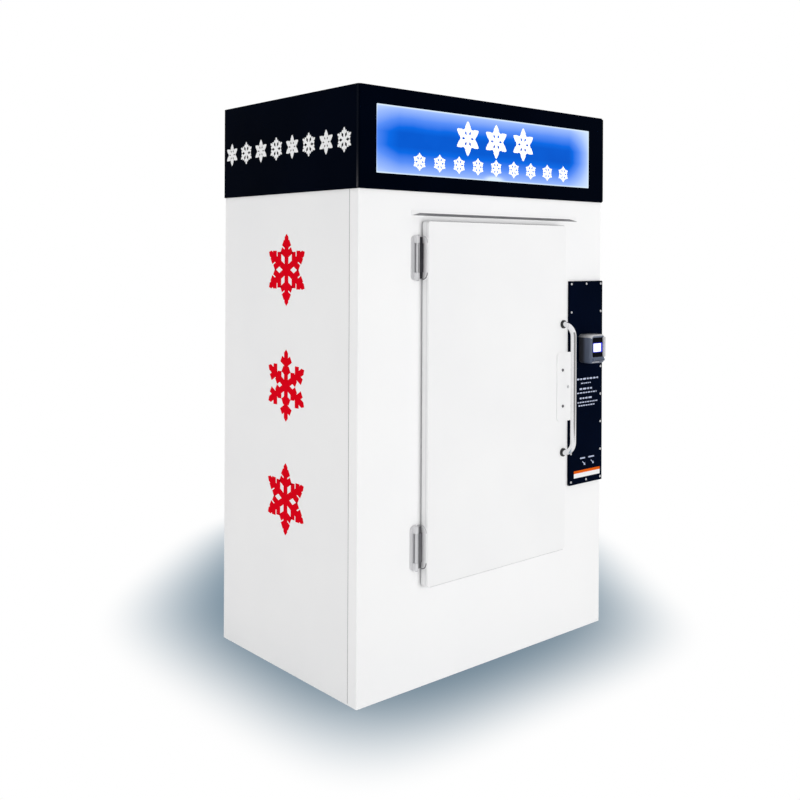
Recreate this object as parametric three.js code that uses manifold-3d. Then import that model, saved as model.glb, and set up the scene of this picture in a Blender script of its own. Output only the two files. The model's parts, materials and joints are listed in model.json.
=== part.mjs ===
// Ice merchandiser freezer: an insulated cabinet with one hinged door, a lit canopy that hides the
// condensing unit, an electric latch and a card reader. Millimetres, +Z up, door facing -Y.
// The origin is on the floor at the middle of the cabinet's base.
import * as THREE from 'three';
import { mergeVertices } from 'three/addons/utils/BufferGeometryUtils.js';
import Module from 'manifold-3d';

const wasm = await Module();
wasm.setup();

// ---------------------------------------------------------------- driving sizes

// shared clearances
const seat = 0.3;                  // gap between faces that rest on each other
const swingClearance = 4;          // door plug to door opening, each side

// cabinet body
const cabinetWidth = 1250;
const cabinetDepth = 820;
const bodyHeight = 1691;           // floor to the canopy's lower edge
const skinThickness = 1.5;
const frontBendRadius = 4;
const cornerWrap = 47;             // how far the front frame wraps onto each side
const sideReturn = 20;             // side panel's return across the back
const skirtClearance = 3;          // lower edge of the skin above the floor
const wallThickness = 76;          // skin, foam and liner together
const linerThickness = 1.2;
const canopyOverlap = 12;          // cabinet's top above the canopy's lower edge

// base
const railWidth = 60;
const railHeight = 38;
const railWall = 3;
const railFromFace = 20;           // rail's ends to the cabinet's front and back
const railFromSide = 105;          // outer rail's middle to the cabinet's side
const panThickness = 2;
const panFlange = 28;

// door opening and door
const openingWidth = 640;
const openingFromRight = 298;      // latch edge to the cabinet's right side
const openingFromTop = 137;        // below the canopy's lower edge
const openingBottom = 386;
const openingCorner = 10;
const jambDepth = 20;              // front frame's flange into the opening
const throatWall = 3;
const throatLip = 14;              // throat frame's lip on the liner
const doorOverlap = 38;            // door past the opening on every side
const doorGap = 8;                 // cabinet's front to the back of the door pan
const panDepth = 30;
const panCorner = 12;
const panEdgeRound = 4;
const doorLinerSheet = 1.5;
const plugDepth = 28;              // door liner's plug into the opening
const plugTaper = 7;
const gasketWidth = 27;
const gasketInset = 9;             // gasket's outer edge from the door's edge

// hinges
const pivotToDoor = 27;            // pivot axis to the door's hinge edge
const pivotToFront = 12;           // pivot axis to the cabinet's front
const hingeHeight = 150;
const hingeEndKnuckle = 25;
const knuckleRadius = 6.8;
const hingePinRadius = 3.4;
const pinHeadRadius = 5.5;
const pinHeadHeight = 3;
const hingeLeafReach = 20;         // pivot axis to the leaf's outer edge
const hingeLeafThickness = 4;
const hingeLeafCorner = 12;
const strapThickness = 2.4;
const strapFront = 24;             // strap's reach in front of the pivot
const strapBack = 3;               // strap's reach behind the pivot
const strapWeb = 4;                // plate from the strap to its knuckle
const strapFlat = 4;               // straight end of the strap behind its round
const upperHingeDrop = 163;        // opening's top edge to the upper hinge's lower end
const lowerHingeRise = 22;         // opening's lower edge to the lower hinge's lower end

// handle
const handleFromEdge = 16;         // door's free edge to the tube's middle
const handleSpan = 492;            // between the tube's two feet
const handleDrop = 2;              // handle's middle below the opening's
const handleStandoff = 52;         // door face to the tube's middle
const handleTubeRadius = 10;
const handleBendRadius = 46;
const handleFlangeRadius = 16;
const handleFlangeThickness = 6;

// guard plate, striker stud and electric latch
const guardOverlap = 53;           // guard plate's reach onto the door
const guardWidth = 88;
const guardRise = 3.5;             // guard plate's middle above the opening's
const guardHeight = 263;
const guardThickness = 2.5;
const guardCorner = 14;
const studFromEdge = 11;           // stud past the door's free edge
const studRise = 2;                // above the opening's middle
const studRadius = 4;
const studShoulderRadius = 5;
const studShoulderLength = 20;
const studHeadRadius = 6.5;
const studHeadThickness = 1.6;
const studNeckRadius = 2.5;
const studNeckLength = 6;
const studNeckBehindFront = 9;     // cabinet's front to the start of the neck
const studTipLength = 7;
const studHoleRadius = 8;
const caseWidth = 60;
const caseHeight = 120;
const caseDepth = 34;
const caseWall = 1.5;
const boltHeight = 22;
const boltThickness = 4;
const boltTravel = 9;
const boltSlotDepth = 6;
const boltSlotClearance = 0.5;
const boltLength = 13;
const boltGuideHeight = 6;

// drip rail
const dripLeftReach = 46;          // rail past the door's hinge edge
const dripRightReach = 104;        // rail past the door's free edge
const dripLeftMitre = 7;           // rail's end to the lip's end
const dripRightMitre = 84;
const dripGap = 17;                // door's top edge to the rail
const dripFlangeHeight = 18;
const dripReach = 36;
const dripRise = 8;
const dripThickness = 1.5;
const dripLipHeight = 5;

// control cover, box and reader
const coverFromRight = 2;          // cover's edge to the cabinet's side
const coverWidth = 201;
const coverHeight = 799;
const coverRise = 6.5;             // cover's middle above the opening's
const coverDepth = 10.7;
const coverSheet = 1.5;
const coverCorner = 3;
const boxMargin = 16;              // cover's edge to the control box's wall
const boxDepth = 52;
const boxSheet = 1.5;
const boxLip = 5;                  // front frame's edge over the box's mouth
const boardWidth = 120;
const boardHeight = 230;
const boardThickness = 1.6;
const standoffHeight = 8;
const boardFromBottom = 167;       // control box's lower wall to the board
const boardHoleInset = 10;
const standoffRadius = 3.5;
// left, bottom, width, height and rise of each part, from the board's middle and lower edge
const transformer = [-48, 30, 46, 52, 24];
const terminalStrip = [8, 20, 44, 9, 12];
const processor = [4, 100, 34, 34, 3];
const firstRelay = [-50, 175, 20, 26, 16];
const relayCount = 3;
const relayPitch = 26;
const readerFromRight = 108;       // reader's middle to the cabinet's side
const readerDrop = 265;            // cover's top edge to the reader's middle
const readerWidth = 86;
const readerHeight = 112;
const readerDepth = 62;
const readerCorner = 12;
const readerBevel = 5;
const displayWidth = 68;
const displayHeight = 76;
const displayThickness = 2;
const displayRecess = 3;
const displayRise = 7;             // display's middle above the reader's middle
const displayCorner = 7;
const readerLipHeight = 16;
const readerLipReach = 7;
const readerSlotWidth = 56;
const readerSlotHeight = 2.4;

// canopy and sign
const canopyHeight = 339;
const canopyProud = 6;
const canopySheet = 1.5;
const canopyCorner = 12;
const canopyReturn = 3;            // front panel's flat past the rounded corner
const canopyTopFlange = 16;
const signFromLeft = 69;           // cabinet's side to the sign opening
const signFromRight = 85;
const signRise = 54;               // canopy's lower edge to the sign opening
const signFromTop = 58;
const signCorner = 3;
const signLap = 12;                // sign panel behind the frame, each side
const signThickness = 4;
const lightBoxMargin = 21;
const lightBoxDepth = 74;
const lightBoxSheet = 1.2;
const ledInset = 28;               // sign opening's edge to the strip's end
const ledWidth = 16;
const ledHeight = 9;
const louvreCount = 5;
const louvrePitch = 44;
const louvreHeight = 16;
const louvreWidth = 250;
const louvreHood = 10;
const louvreFieldX = 190;
const louvreRise = 74;             // canopy's lower edge to the first louvre
const glandFromRight = 145;
const glandRise = 79;              // canopy's lower edge to the gland
const glandHexRadius = 17;
const glandHexThickness = 8;
const glandBoreRadius = 6;
const glandNeckRadius = 8.7;
const glandNeckIn = 10;            // neck's end inside the canopy
const glandNutOut = 16;            // straight part of the nut
const glandDomeOut = 22;

// interior
const slatCount = 8;
const slatWidth = 30;
const slatThickness = 4;
const grateSideClearance = 9;      // rack to the liner's side walls
const grateEndClearance = 14;      // rack to the liner's front and back walls
const runnerHeight = 12;
const runnerWidth = 20;
const runnerInset = 40;            // slats' ends to the outer runners
const lampLength = 420;
const lampRadius = 16;
const lampFromFront = 60;

// evaporator
const evaporatorWidth = 620;
const evaporatorDepth = 240;
const evaporatorHeight = 180;
const evaporatorFromBack = 12;     // housing to the liner's back wall
const evaporatorSheet = 1.5;
const ringLength = 30;             // fan ring, from the housing's front
const evaporatorFanSet = 16;       // fan's middle, from the housing's front
const evaporatorFanMargin = 8;     // fan ring to the housing's top and lower edge
const evaporatorHub = 26;
const evaporatorHubRadius = 20;
const evaporatorChord = 40;
const evaporatorCoilInset = 30;    // housing's side to the coil's end plate
const evaporatorCoilDepth = 84;
const evaporatorFinPitch = 39;
const evaporatorCoilFromBack = 20;
const drainPanDepth = 22;
const drainRim = 5;                // pan's rim over the housing's lower edge
const drainSlope = 6;
const drainSpoutRadius = 9;
const drainSpoutLength = 22;

// condensing unit
const trayWidth = 680;
const trayDepth = 380;
const trayHeight = 24;
const traySheet = 2;
const trayFromBack = 14;
const coilX = 182;
const coilWidth = 300;
const coilHeight = 236;
const coilDepth = 56;
const coilFinPitch = 19;
const coilTubeRadius = 4.5;
const shroudDepth = 62;
const shroudSheet = 1.5;
const shroudRingOut = 16;          // fan ring in front of the shroud
const shroudRingIn = 18;
const fanTipGap = 6;
const fanMargin = 14;               // fan ring to the shroud's top and base
const condenserHub = 30;
const condenserHubRadius = 24;
const condenserChord = 46;
const condenserCoilFromBack = 10;
const motorLegInset = 10;          // spider's reach past the fan ring
const motorRadius = 38;
const motorLength = 62;
const motorShoulder = 8;
const motorToHub = 4;
const spiderLegs = 3;
const spiderWidth = 12;
const spiderThickness = 3;
const shaftRadius = 4;
const runningGap = 0.4;            // shaft to hub
const compressorX = -158;
const compressorFromBack = 150;
const compressorRadius = 84;
const compressorHeight = 214;
const compressorFoot = 14;         // underside of the can above its base
const compressorFeet = 3;
const compressorArm = 32;          // width of each foot
const weldFlange = 5;
const terminalBox = 46;

// fan blades, both fans
const bladeCount = 5;
const bladeRootPitch = 0.75;       // radians from the plane of the fan
const bladeTipPitch = 0.4;
const bladeSweep = 0.35;           // radians, at the tip
const bladeThickness = 2.6;
const bladeCamber = 3;

// refrigerant lines
const suctionRadius = 6;
const liquidRadius = 4;
const suctionLineX = -272;
const liquidLineX = -22;
const suctionRise = 70;            // suction line's run over the top deck

// ---------------------------------------------------------------- sizes worked out from them

const right = cabinetWidth / 2;
const left = -right;
const back = cabinetDepth / 2;
const front = -back;
const skirt = skirtClearance;
const panTop = railHeight + seat + panThickness;
const deckTop = bodyHeight + canopyOverlap;
const top = bodyHeight + canopyHeight;
const innerRight = right - wallThickness;
const innerLeft = -innerRight;
const innerBack = back - wallThickness;
const innerFront = front + wallThickness;
const floorTop = panTop + wallThickness;
const ceiling = deckTop - wallThickness;
const foamInset = skinThickness + seat;

const railLength = cabinetDepth - 2 * railFromFace;
const railSpacing = right - railFromSide;
const slatLength = 2 * (innerRight - grateSideClearance);
const grateDepth = innerBack - innerFront - 2 * grateEndClearance;
const runnerSpacing = slatLength / 2 - runnerInset;

const openingRight = right - openingFromRight;
const openingLeft = openingRight - openingWidth;
const openingTop = bodyHeight - openingFromTop;
const openingHeight = openingTop - openingBottom;
const openingCentreX = (openingLeft + openingRight) / 2;
const openingCentreZ = (openingBottom + openingTop) / 2;
const doorWidth = openingWidth + 2 * doorOverlap;
const doorHeight = openingHeight + 2 * doorOverlap;
const doorLeft = openingLeft - doorOverlap;
const doorRight = openingRight + doorOverlap;
const doorTop = openingTop + doorOverlap;
const doorBack = front - doorGap;
const doorFace = doorBack - panDepth;
const pivotX = doorLeft - pivotToDoor;
const pivotY = front - pivotToFront;
const upperHingeBottom = openingTop - upperHingeDrop;
const lowerHingeBottom = openingBottom + lowerHingeRise;
const handleX = doorRight - handleFromEdge;
const handleLower = openingCentreZ - handleDrop - handleSpan / 2;
const handleUpper = handleLower + handleSpan;
const guardLeft = doorRight - guardOverlap;
const guardBottom = openingCentreZ + guardRise - guardHeight / 2;
const studX = doorRight + studFromEdge;
const studZ = openingCentreZ + studRise;
const dripLeft = doorLeft - dripLeftReach;
const dripRight = doorRight + dripRightReach;
const dripLipLeft = dripLeft + dripLeftMitre;
const dripLipRight = dripRight - dripRightMitre;
const dripBottom = doorTop + dripGap;

const canopyFront = front - canopyProud;
const canopySide = right + canopyProud;
const signLeft = left + signFromLeft;
const signWidth = right - signFromRight - signLeft;
const signBottom = bodyHeight + signRise;
const signHeight = top - signFromTop - signBottom;
const signCentreX = signLeft + signWidth / 2;
const signCentreZ = signBottom + signHeight / 2;
const signFace = canopyFront + canopySheet + seat;
const lightBoxFront = signFace + signThickness + seat;
const lightBoxBack = lightBoxFront + lightBoxDepth;
const lightBoxLeft = signLeft - lightBoxMargin;
const lightBoxRight = signLeft + signWidth + lightBoxMargin;
const lightBoxBottom = deckTop + seat;
const lightBoxTop = signBottom + signHeight + lightBoxMargin;
const lidTop = top - canopySheet - seat;
const ledLength = signWidth - 2 * ledInset;
const louvreFieldBottom = bodyHeight + louvreRise;
const glandX = right - glandFromRight;
const glandZ = bodyHeight + glandRise;

const coverFace = front - seat - coverDepth;
const coverLeft = right - coverFromRight - coverWidth;
const coverBottom = openingCentreZ + coverRise - coverHeight / 2;
const readerX = right - readerFromRight;
const readerZ = coverBottom + coverHeight - readerDrop;
const boxLeft = coverLeft + boxMargin;
const boxRight = coverLeft + coverWidth - boxMargin;
const boxBottom = coverBottom + boxMargin;
const boxTop = coverBottom + coverHeight - boxMargin;
const boardBottom = boxBottom + boardFromBottom;
const boxFront = front + foamInset;
const boxBack = boxFront + boxDepth;

const evaporatorBack = innerBack - evaporatorFromBack;
const evaporatorFront = evaporatorBack - evaporatorDepth;
const evaporatorTop = ceiling - seat;
const evaporatorBottom = evaporatorTop - evaporatorHeight;
const evaporatorFanRadius = evaporatorHeight / 2 - fanTipGap - evaporatorFanMargin;
const evaporatorCoilWidth = evaporatorWidth - 2 * evaporatorCoilInset;
const trayTop = deckTop + seat + trayHeight;
const trayBack = back - trayFromBack;
const fanRadius = coilHeight / 2 - fanTipGap - fanMargin;
const lineY = back - compressorFromBack;

// ---------------------------------------------------------------- finishes

function finish(colour, roughness, metalness) {
  return new THREE.MeshStandardMaterial({ color: colour, roughness, metalness });
}

const whitePaint = finish(0xf3f4f5, 0.35, 0.1);
const blackPaint = finish(0x04060f, 0.3, 0.1);
const navyCover = finish(0x04091c, 0.35, 0.1);
const chrome = finish(0xd8d9dc, 0.08, 1);
const satinSteel = finish(0xb6b7ba, 0.35, 0.9);
const galvanised = finish(0xa9adb0, 0.45, 0.85);
const linerSheetFinish = finish(0xe8ebec, 0.4, 0.2);
const foamFinish = finish(0xe6d9a8, 0.9, 0);
const greyRubber = finish(0x4a4c50, 0.8, 0);
const greyPlastic = finish(0xc9ccd0, 0.55, 0);
const readerPlastic = finish(0x2b2d33, 0.45, 0);
const displayGlass = finish(0x0a0d16, 0.1, 0);
const signAcrylic = finish(0x2c6cf0, 0.25, 0);
const lampLens = finish(0xf7f9ff, 0.3, 0);
const finAluminium = finish(0xc4c8cb, 0.4, 0.9);
const blackEnamel = finish(0x16171a, 0.4, 0.2);
const fanPlastic = finish(0x26282c, 0.5, 0);
const copper = finish(0xb87345, 0.3, 0.9);
const boardGreen = finish(0x1c5b3a, 0.6, 0);

// ---------------------------------------------------------------- solids

// A closed geometry as a solid that can be cut and joined.
function solidOf(geometry) {
  const bare = geometry.clone();
  bare.deleteAttribute('normal');
  bare.deleteAttribute('uv');
  const merged = mergeVertices(bare, 1e-3);
  const corners = merged.index.array;
  const kept = [];
  for (let i = 0; i < corners.length; i += 3) {
    const [a, b, c] = [corners[i], corners[i + 1], corners[i + 2]];
    if (a !== b && b !== c && c !== a) {
      kept.push(a, b, c);
    }
  }
  return new wasm.Manifold(new wasm.Mesh({
    numProp: 3,
    vertProperties: new Float32Array(merged.attributes.position.array),
    triVerts: new Uint32Array(kept),
  }));
}

function geometryOf(solid) {
  const mesh = solid.getMesh();
  const geometry = new THREE.BufferGeometry();
  geometry.setAttribute('position', new THREE.BufferAttribute(mesh.vertProperties, 3));
  geometry.setIndex(new THREE.BufferAttribute(mesh.triVerts, 1));
  geometry.computeVertexNormals();
  return geometry;
}

function cut(base, ...tools) {
  let solid = solidOf(base);
  for (const tool of tools) {
    solid = solid.subtract(solidOf(tool));
  }
  return geometryOf(solid);
}

function join(base, ...others) {
  let solid = solidOf(base);
  for (const other of others) {
    solid = solid.add(solidOf(other));
  }
  return geometryOf(solid);
}

// A block from its lowest corner to its highest.
function block(low, high) {
  const size = high.map((value, axis) => value - low[axis]);
  const geometry = new THREE.BoxGeometry(...size);
  geometry.translate(...low.map((value, axis) => value + size[axis] / 2));
  return geometry;
}

function outline(points) {
  return new THREE.Shape(points.map(([x, y]) => new THREE.Vector2(x, y)));
}

// A rectangle with round corners about a centre.
function roundedRect(width, height, radius, x = 0, y = 0) {
  const w = width / 2;
  const h = height / 2;
  const shape = new THREE.Shape();
  shape.moveTo(x - w + radius, y - h);
  shape.lineTo(x + w - radius, y - h);
  shape.absarc(x + w - radius, y - h + radius, radius, -Math.PI / 2, 0);
  shape.lineTo(x + w, y + h - radius);
  shape.absarc(x + w - radius, y + h - radius, radius, 0, Math.PI / 2);
  shape.lineTo(x - w + radius, y + h);
  shape.absarc(x - w + radius, y + h - radius, radius, Math.PI / 2, Math.PI);
  shape.lineTo(x - w, y - h + radius);
  shape.absarc(x - w + radius, y - h + radius, radius, Math.PI, Math.PI * 1.5);
  return shape;
}

function extruded(shape, depth, curveSegments) {
  return new THREE.ExtrudeGeometry(shape, { depth, bevelEnabled: false, curveSegments });
}

// A shape drawn in x and y, raised from one height to another.
function prismZ(shape, low, high, curveSegments = 2) {
  const geometry = extruded(shape, high - low, curveSegments);
  geometry.translate(0, 0, low);
  return geometry;
}

// A shape drawn in x and z, drawn out along y.
function prismY(shape, low, high, curveSegments = 2) {
  const geometry = extruded(shape, high - low, curveSegments);
  geometry.rotateX(Math.PI / 2);
  geometry.translate(0, high, 0);
  return geometry;
}

// A shape drawn in y and z, drawn out along x.
function prismX(shape, low, high, curveSegments = 2) {
  const geometry = extruded(shape, high - low, curveSegments);
  geometry.applyMatrix4(new THREE.Matrix4().makeBasis(
    new THREE.Vector3(0, 1, 0),
    new THREE.Vector3(0, 0, 1),
    new THREE.Vector3(1, 0, 0),
  ));
  geometry.translate(low, 0, 0);
  return geometry;
}

// A profile of [radius, height] points, turned about +Z.
function turnedZ(profile, segments = 24) {
  const points = profile.map(([radius, height]) => new THREE.Vector2(radius, height));
  const geometry = new THREE.LatheGeometry(points, segments);
  geometry.rotateX(Math.PI / 2);
  return geometry;
}

// A profile of [radius, distance] points, turned about +Y.
function turnedY(profile, segments = 24) {
  const points = profile.map(([radius, distance]) => new THREE.Vector2(radius, distance));
  return new THREE.LatheGeometry(points, segments);
}

function rodZ(radius, low, high, segments = 20) {
  return turnedZ([[0, low], [radius, low], [radius, high], [0, high]], segments);
}

function rodY(radius, low, high, segments = 24) {
  return turnedY([[0, low], [radius, low], [radius, high], [0, high]], segments);
}

function moved(geometry, x, y, z) {
  geometry.translate(x, y, z);
  return geometry;
}

// A path through corner points, each corner bent to a radius.
function bentPath(corners, bendRadius) {
  const points = corners.map((corner) => new THREE.Vector3(...corner));
  const path = new THREE.CurvePath();
  let from = points[0];
  for (let i = 1; i < points.length - 1; i += 1) {
    const arriving = points[i].clone().sub(points[i - 1]).normalize();
    const leaving = points[i + 1].clone().sub(points[i]).normalize();
    const angle = arriving.angleTo(leaving);
    const setback = bendRadius * Math.tan(angle / 2);
    const pull = bendRadius * (4 / 3) * Math.tan(angle / 4);
    const bendStart = points[i].clone().addScaledVector(arriving, -setback);
    const bendEnd = points[i].clone().addScaledVector(leaving, setback);
    path.add(new THREE.LineCurve3(from, bendStart));
    path.add(new THREE.CubicBezierCurve3(
      bendStart,
      bendStart.clone().addScaledVector(arriving, pull),
      bendEnd.clone().addScaledVector(leaving, -pull),
      bendEnd,
    ));
    from = bendEnd;
  }
  path.add(new THREE.LineCurve3(from, points[points.length - 1]));
  return path;
}

function tube(path, radius, steps, sides) {
  const section = new THREE.Shape();
  section.absarc(0, 0, radius, 0, Math.PI * 2);
  return new THREE.ExtrudeGeometry(section, { steps, extrudePath: path, curveSegments: sides / 2 });
}

// A skin through rings of points that all have the same count, closed at both ends.
function loft(rings) {
  const count = rings[0].length;
  const positions = rings.flat().flatMap((point) => [point.x, point.y, point.z]);
  const faces = [];
  for (let ring = 0; ring < rings.length - 1; ring += 1) {
    for (let i = 0; i < count; i += 1) {
      const a = ring * count + i;
      const b = ring * count + ((i + 1) % count);
      faces.push(a, b, b + count, a, b + count, a + count);
    }
  }
  const last = (rings.length - 1) * count;
  for (let i = 1; i < count - 1; i += 1) {
    faces.push(0, i + 1, i);
    faces.push(last, last + i, last + i + 1);
  }
  const geometry = new THREE.BufferGeometry();
  geometry.setAttribute('position', new THREE.Float32BufferAttribute(positions, 3));
  geometry.setIndex(signedVolume(rings.flat(), faces) < 0 ? faces.reverse() : faces);
  return geometry;
}

function signedVolume(points, faces) {
  let total = 0;
  for (let i = 0; i < faces.length; i += 3) {
    const [a, b, c] = [points[faces[i]], points[faces[i + 1]], points[faces[i + 2]]];
    total += a.dot(b.clone().cross(c)) / 6;
  }
  return total;
}

// One ring of a loft along y: a rounded rectangle in x and z.
function ringAt(y, width, height, radius, x = 0, z = 0) {
  const shape = roundedRect(width, height, radius, x, z);
  const points = shape.getPoints(2);
  points.pop();
  return points.map((point) => new THREE.Vector3(point.x, y, point.y));
}

function place(parent, name, geometry, material, position = [0, 0, 0], rotation = [0, 0, 0]) {
  const mesh = new THREE.Mesh(geometry, material);
  mesh.name = name;
  mesh.position.set(...position);
  mesh.rotation.set(...rotation);
  parent.add(mesh);
  return mesh;
}

function group(parent, position = [0, 0, 0]) {
  const node = new THREE.Group();
  node.position.set(...position);
  parent.add(node);
  return node;
}

// ---------------------------------------------------------------- base and cabinet skin

function skidRail() {
  const middle = railHeight / 2;
  const inside = 2 * railWall;
  const profile = roundedRect(railWidth, railHeight, railWall * 1.5, 0, middle);
  const hollow = roundedRect(railWidth - inside, railHeight - inside, railWall / 2, 0, middle);
  profile.holes.push(hollow);
  return prismY(profile, -railLength / 2, railLength / 2, 1);
}

// Plan of what fills the skin, with corners that clear the front frame's bends.
function insidePlan() {
  return roundedRect(
    2 * (right - foamInset), 2 * (back - foamInset), frontBendRadius - foamInset,
  );
}

// Bottom pan with a flange turned down behind each side panel's skirt.
function bottomPan() {
  const edge = right - foamInset;
  const under = panTop - panThickness;
  const plate = prismZ(insidePlan(), under, panTop);
  const flanges = [-edge, edge - panThickness].map((x) => block(
    [x, front + frontBendRadius, panTop - panFlange],
    [x + panThickness, back - foamInset, panTop - panThickness / 2],
  ));
  return join(plate, ...flanges);
}

// Side skin with a return across the back; side is 1 for right and -1 for left.
function sidePanel(side) {
  const outer = side * right;
  const inner = side * (right - skinThickness);
  const returnEdge = side * (right - sideReturn);
  const start = front + cornerWrap + seat;
  const profile = outline([
    [outer, start], [outer, back], [returnEdge, back],
    [returnEdge, back - skinThickness], [inner, back - skinThickness], [inner, start],
  ]);
  return prismZ(profile, skirt, deckTop);
}

function backPanel() {
  const edge = right - sideReturn - seat;
  return block([-edge, back - skinThickness, skirt], [edge, back, deckTop]);
}

function lineHole(x, radius, low, high) {
  return moved(rodZ(radius + 2 * seat, low, high, 12), x, lineY, 0);
}

function topDeck() {
  const sheet = prismZ(insidePlan(), deckTop - skinThickness, deckTop);
  const over = deckTop + 1;
  const under = deckTop - skinThickness - 1;
  return cut(
    sheet,
    lineHole(suctionLineX, suctionRadius, under, over),
    lineHole(liquidLineX, liquidRadius, under, over),
  );
}

// One front sheet bent round both corners, with the flanged door opening, the mouth of the control
// box and the hole for the striker stud.
function frontFrame() {
  const wrapEnd = front + cornerWrap;
  const outerBend = frontBendRadius;
  const innerBend = frontBendRadius - skinThickness;
  const bendY = front + outerBend;
  const bendX = right - outerBend;
  const plan = new THREE.Shape();
  plan.moveTo(-right, wrapEnd);
  plan.lineTo(-right, bendY);
  plan.absarc(-bendX, bendY, outerBend, Math.PI, Math.PI * 1.5);
  plan.lineTo(bendX, front);
  plan.absarc(bendX, bendY, outerBend, -Math.PI / 2, 0);
  plan.lineTo(right, wrapEnd);
  plan.lineTo(right - skinThickness, wrapEnd);
  plan.lineTo(right - skinThickness, bendY);
  plan.absarc(bendX, bendY, innerBend, 0, -Math.PI / 2, true);
  plan.lineTo(-bendX, front + skinThickness);
  plan.absarc(-bendX, bendY, innerBend, Math.PI * 1.5, Math.PI, true);
  plan.lineTo(-right + skinThickness, wrapEnd);
  const sheet = prismZ(plan, skirt, deckTop);
  const jamb = prismY(
    roundedRect(openingWidth + 2 * skinThickness, openingHeight + 2 * skinThickness,
      openingCorner + skinThickness, openingCentreX, openingCentreZ),
    front + skinThickness / 2, front + jambDepth,
  );
  const opening = prismY(
    roundedRect(openingWidth, openingHeight, openingCorner, openingCentreX, openingCentreZ),
    front - 1, front + jambDepth + 1,
  );
  const mouth = block(
    [boxLeft + boxLip, front - 1, boxBottom + boxLip],
    [boxRight - boxLip, front + skinThickness + 1, boxTop - boxLip],
  );
  const studHole = moved(rodY(studHoleRadius, front - 1, front + skinThickness + 1), studX, 0, studZ);
  return cut(join(sheet, jamb), opening, mouth, studHole);
}

// ---------------------------------------------------------------- foam, liner and throat

function foamInsulation() {
  const cavity = linerThickness + seat;
  const body = prismZ(insidePlan(), panTop + seat, deckTop - foamInset);
  const room = block(
    [innerLeft - cavity, innerFront - cavity, floorTop - cavity],
    [innerRight + cavity, innerBack + cavity, ceiling + cavity],
  );
  const throatRoom = 2 * (throatWall + seat);
  const throat = prismY(
    roundedRect(openingWidth + throatRoom, openingHeight + throatRoom, openingCorner + throatRoom / 2,
      openingCentreX, openingCentreZ),
    front, innerFront,
  );
  const boxRecess = block(
    [boxLeft - seat, front, boxBottom - seat],
    [boxRight + seat, boxBack + seat, boxTop + seat],
  );
  const latchPocket = block(
    [studX - caseWidth / 2 - seat, front, studZ - caseHeight / 2 - seat],
    [studX + caseWidth / 2 + seat, front + foamInset + caseDepth + seat, studZ + caseHeight / 2 + seat],
  );
  return cut(
    body, room, throat, boxRecess, latchPocket,
    lineHole(suctionLineX, suctionRadius, ceiling, deckTop),
    lineHole(liquidLineX, liquidRadius, ceiling, deckTop),
  );
}

function innerLiner() {
  const t = linerThickness;
  const outside = block(
    [innerLeft - t, innerFront - t, floorTop - t],
    [innerRight + t, innerBack + t, ceiling + t],
  );
  const inside = block([innerLeft, innerFront, floorTop], [innerRight, innerBack, ceiling]);
  const throatRoom = 2 * (throatWall + seat);
  const mouth = prismY(
    roundedRect(openingWidth + throatRoom, openingHeight + throatRoom, openingCorner + throatRoom / 2,
      openingCentreX, openingCentreZ),
    innerFront - t - 1, innerFront + 1,
  );
  return cut(
    outside, inside, mouth,
    lineHole(suctionLineX, suctionRadius, ceiling - 1, ceiling + t + 1),
    lineHole(liquidLineX, liquidRadius, ceiling - 1, ceiling + t + 1),
  );
}

// Plastic frame that lines the throat from the front frame's flange to the liner and laps it.
function doorThroatFrame() {
  const ring = (grow) => roundedRect(
    openingWidth + 2 * grow, openingHeight + 2 * grow, openingCorner + grow, openingCentreX, openingCentreZ,
  );
  const start = front + jambDepth + seat;
  const lipStart = innerFront + seat;
  const wall = prismY(ring(throatWall), start, lipStart + throatWall);
  const lip = prismY(ring(throatLip), lipStart, lipStart + throatWall);
  const hole = prismY(ring(0), start - 1, lipStart + throatWall + 1);
  return cut(join(wall, lip), hole);
}

// Slatted floor rack on three runners, slats and runners welded together.
function floorGrate() {
  const runnerTop = floorTop + seat + runnerHeight;
  const middleY = (innerFront + innerBack) / 2;
  const pitch = (grateDepth - slatWidth) / (slatCount - 1);
  const runners = [-runnerSpacing, 0, runnerSpacing].map((x) => block(
    [x - runnerWidth / 2, middleY - grateDepth / 2, floorTop + seat],
    [x + runnerWidth / 2, middleY + grateDepth / 2, runnerTop],
  ));
  const slats = [];
  for (let i = 0; i < slatCount; i += 1) {
    const y = middleY - grateDepth / 2 + i * pitch;
    slats.push(block(
      [-slatLength / 2, y, runnerTop - slatThickness / 4],
      [slatLength / 2, y + slatWidth, runnerTop + slatThickness],
    ));
  }
  return join(runners[0], runners[1], runners[2], ...slats);
}

// Half-round lamp under the ceiling.
function interiorLamp() {
  const y = innerFront + lampFromFront;
  const z = ceiling - seat;
  const profile = new THREE.Shape();
  profile.moveTo(y + lampRadius, z);
  profile.lineTo(y + lampRadius, z - lampRadius / 2);
  profile.absarc(y, z - lampRadius / 2, lampRadius, 0, -Math.PI, true);
  profile.lineTo(y - lampRadius, z);
  return prismX(profile, openingCentreX - lampLength / 2, openingCentreX + lampLength / 2, 5);
}

// ---------------------------------------------------------------- door, drawn about the pivot axis

const doorMiddleX = openingCentreX - pivotX;
const doorBackY = doorBack - pivotY;
const doorFaceY = doorFace - pivotY;
const frontY = front - pivotY;
const plugWidth = openingWidth - 2 * swingClearance;
const plugHeight = openingHeight - 2 * swingClearance;
const plugCorner = openingCorner;
const linerFlangeBack = doorBackY + seat + doorLinerSheet;
const plugEnd = frontY + plugDepth;

function panRing(y, grow, radius) {
  return ringAt(y, doorWidth + 2 * grow, doorHeight + 2 * grow, radius + grow, doorMiddleX, openingCentreZ);
}

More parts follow.
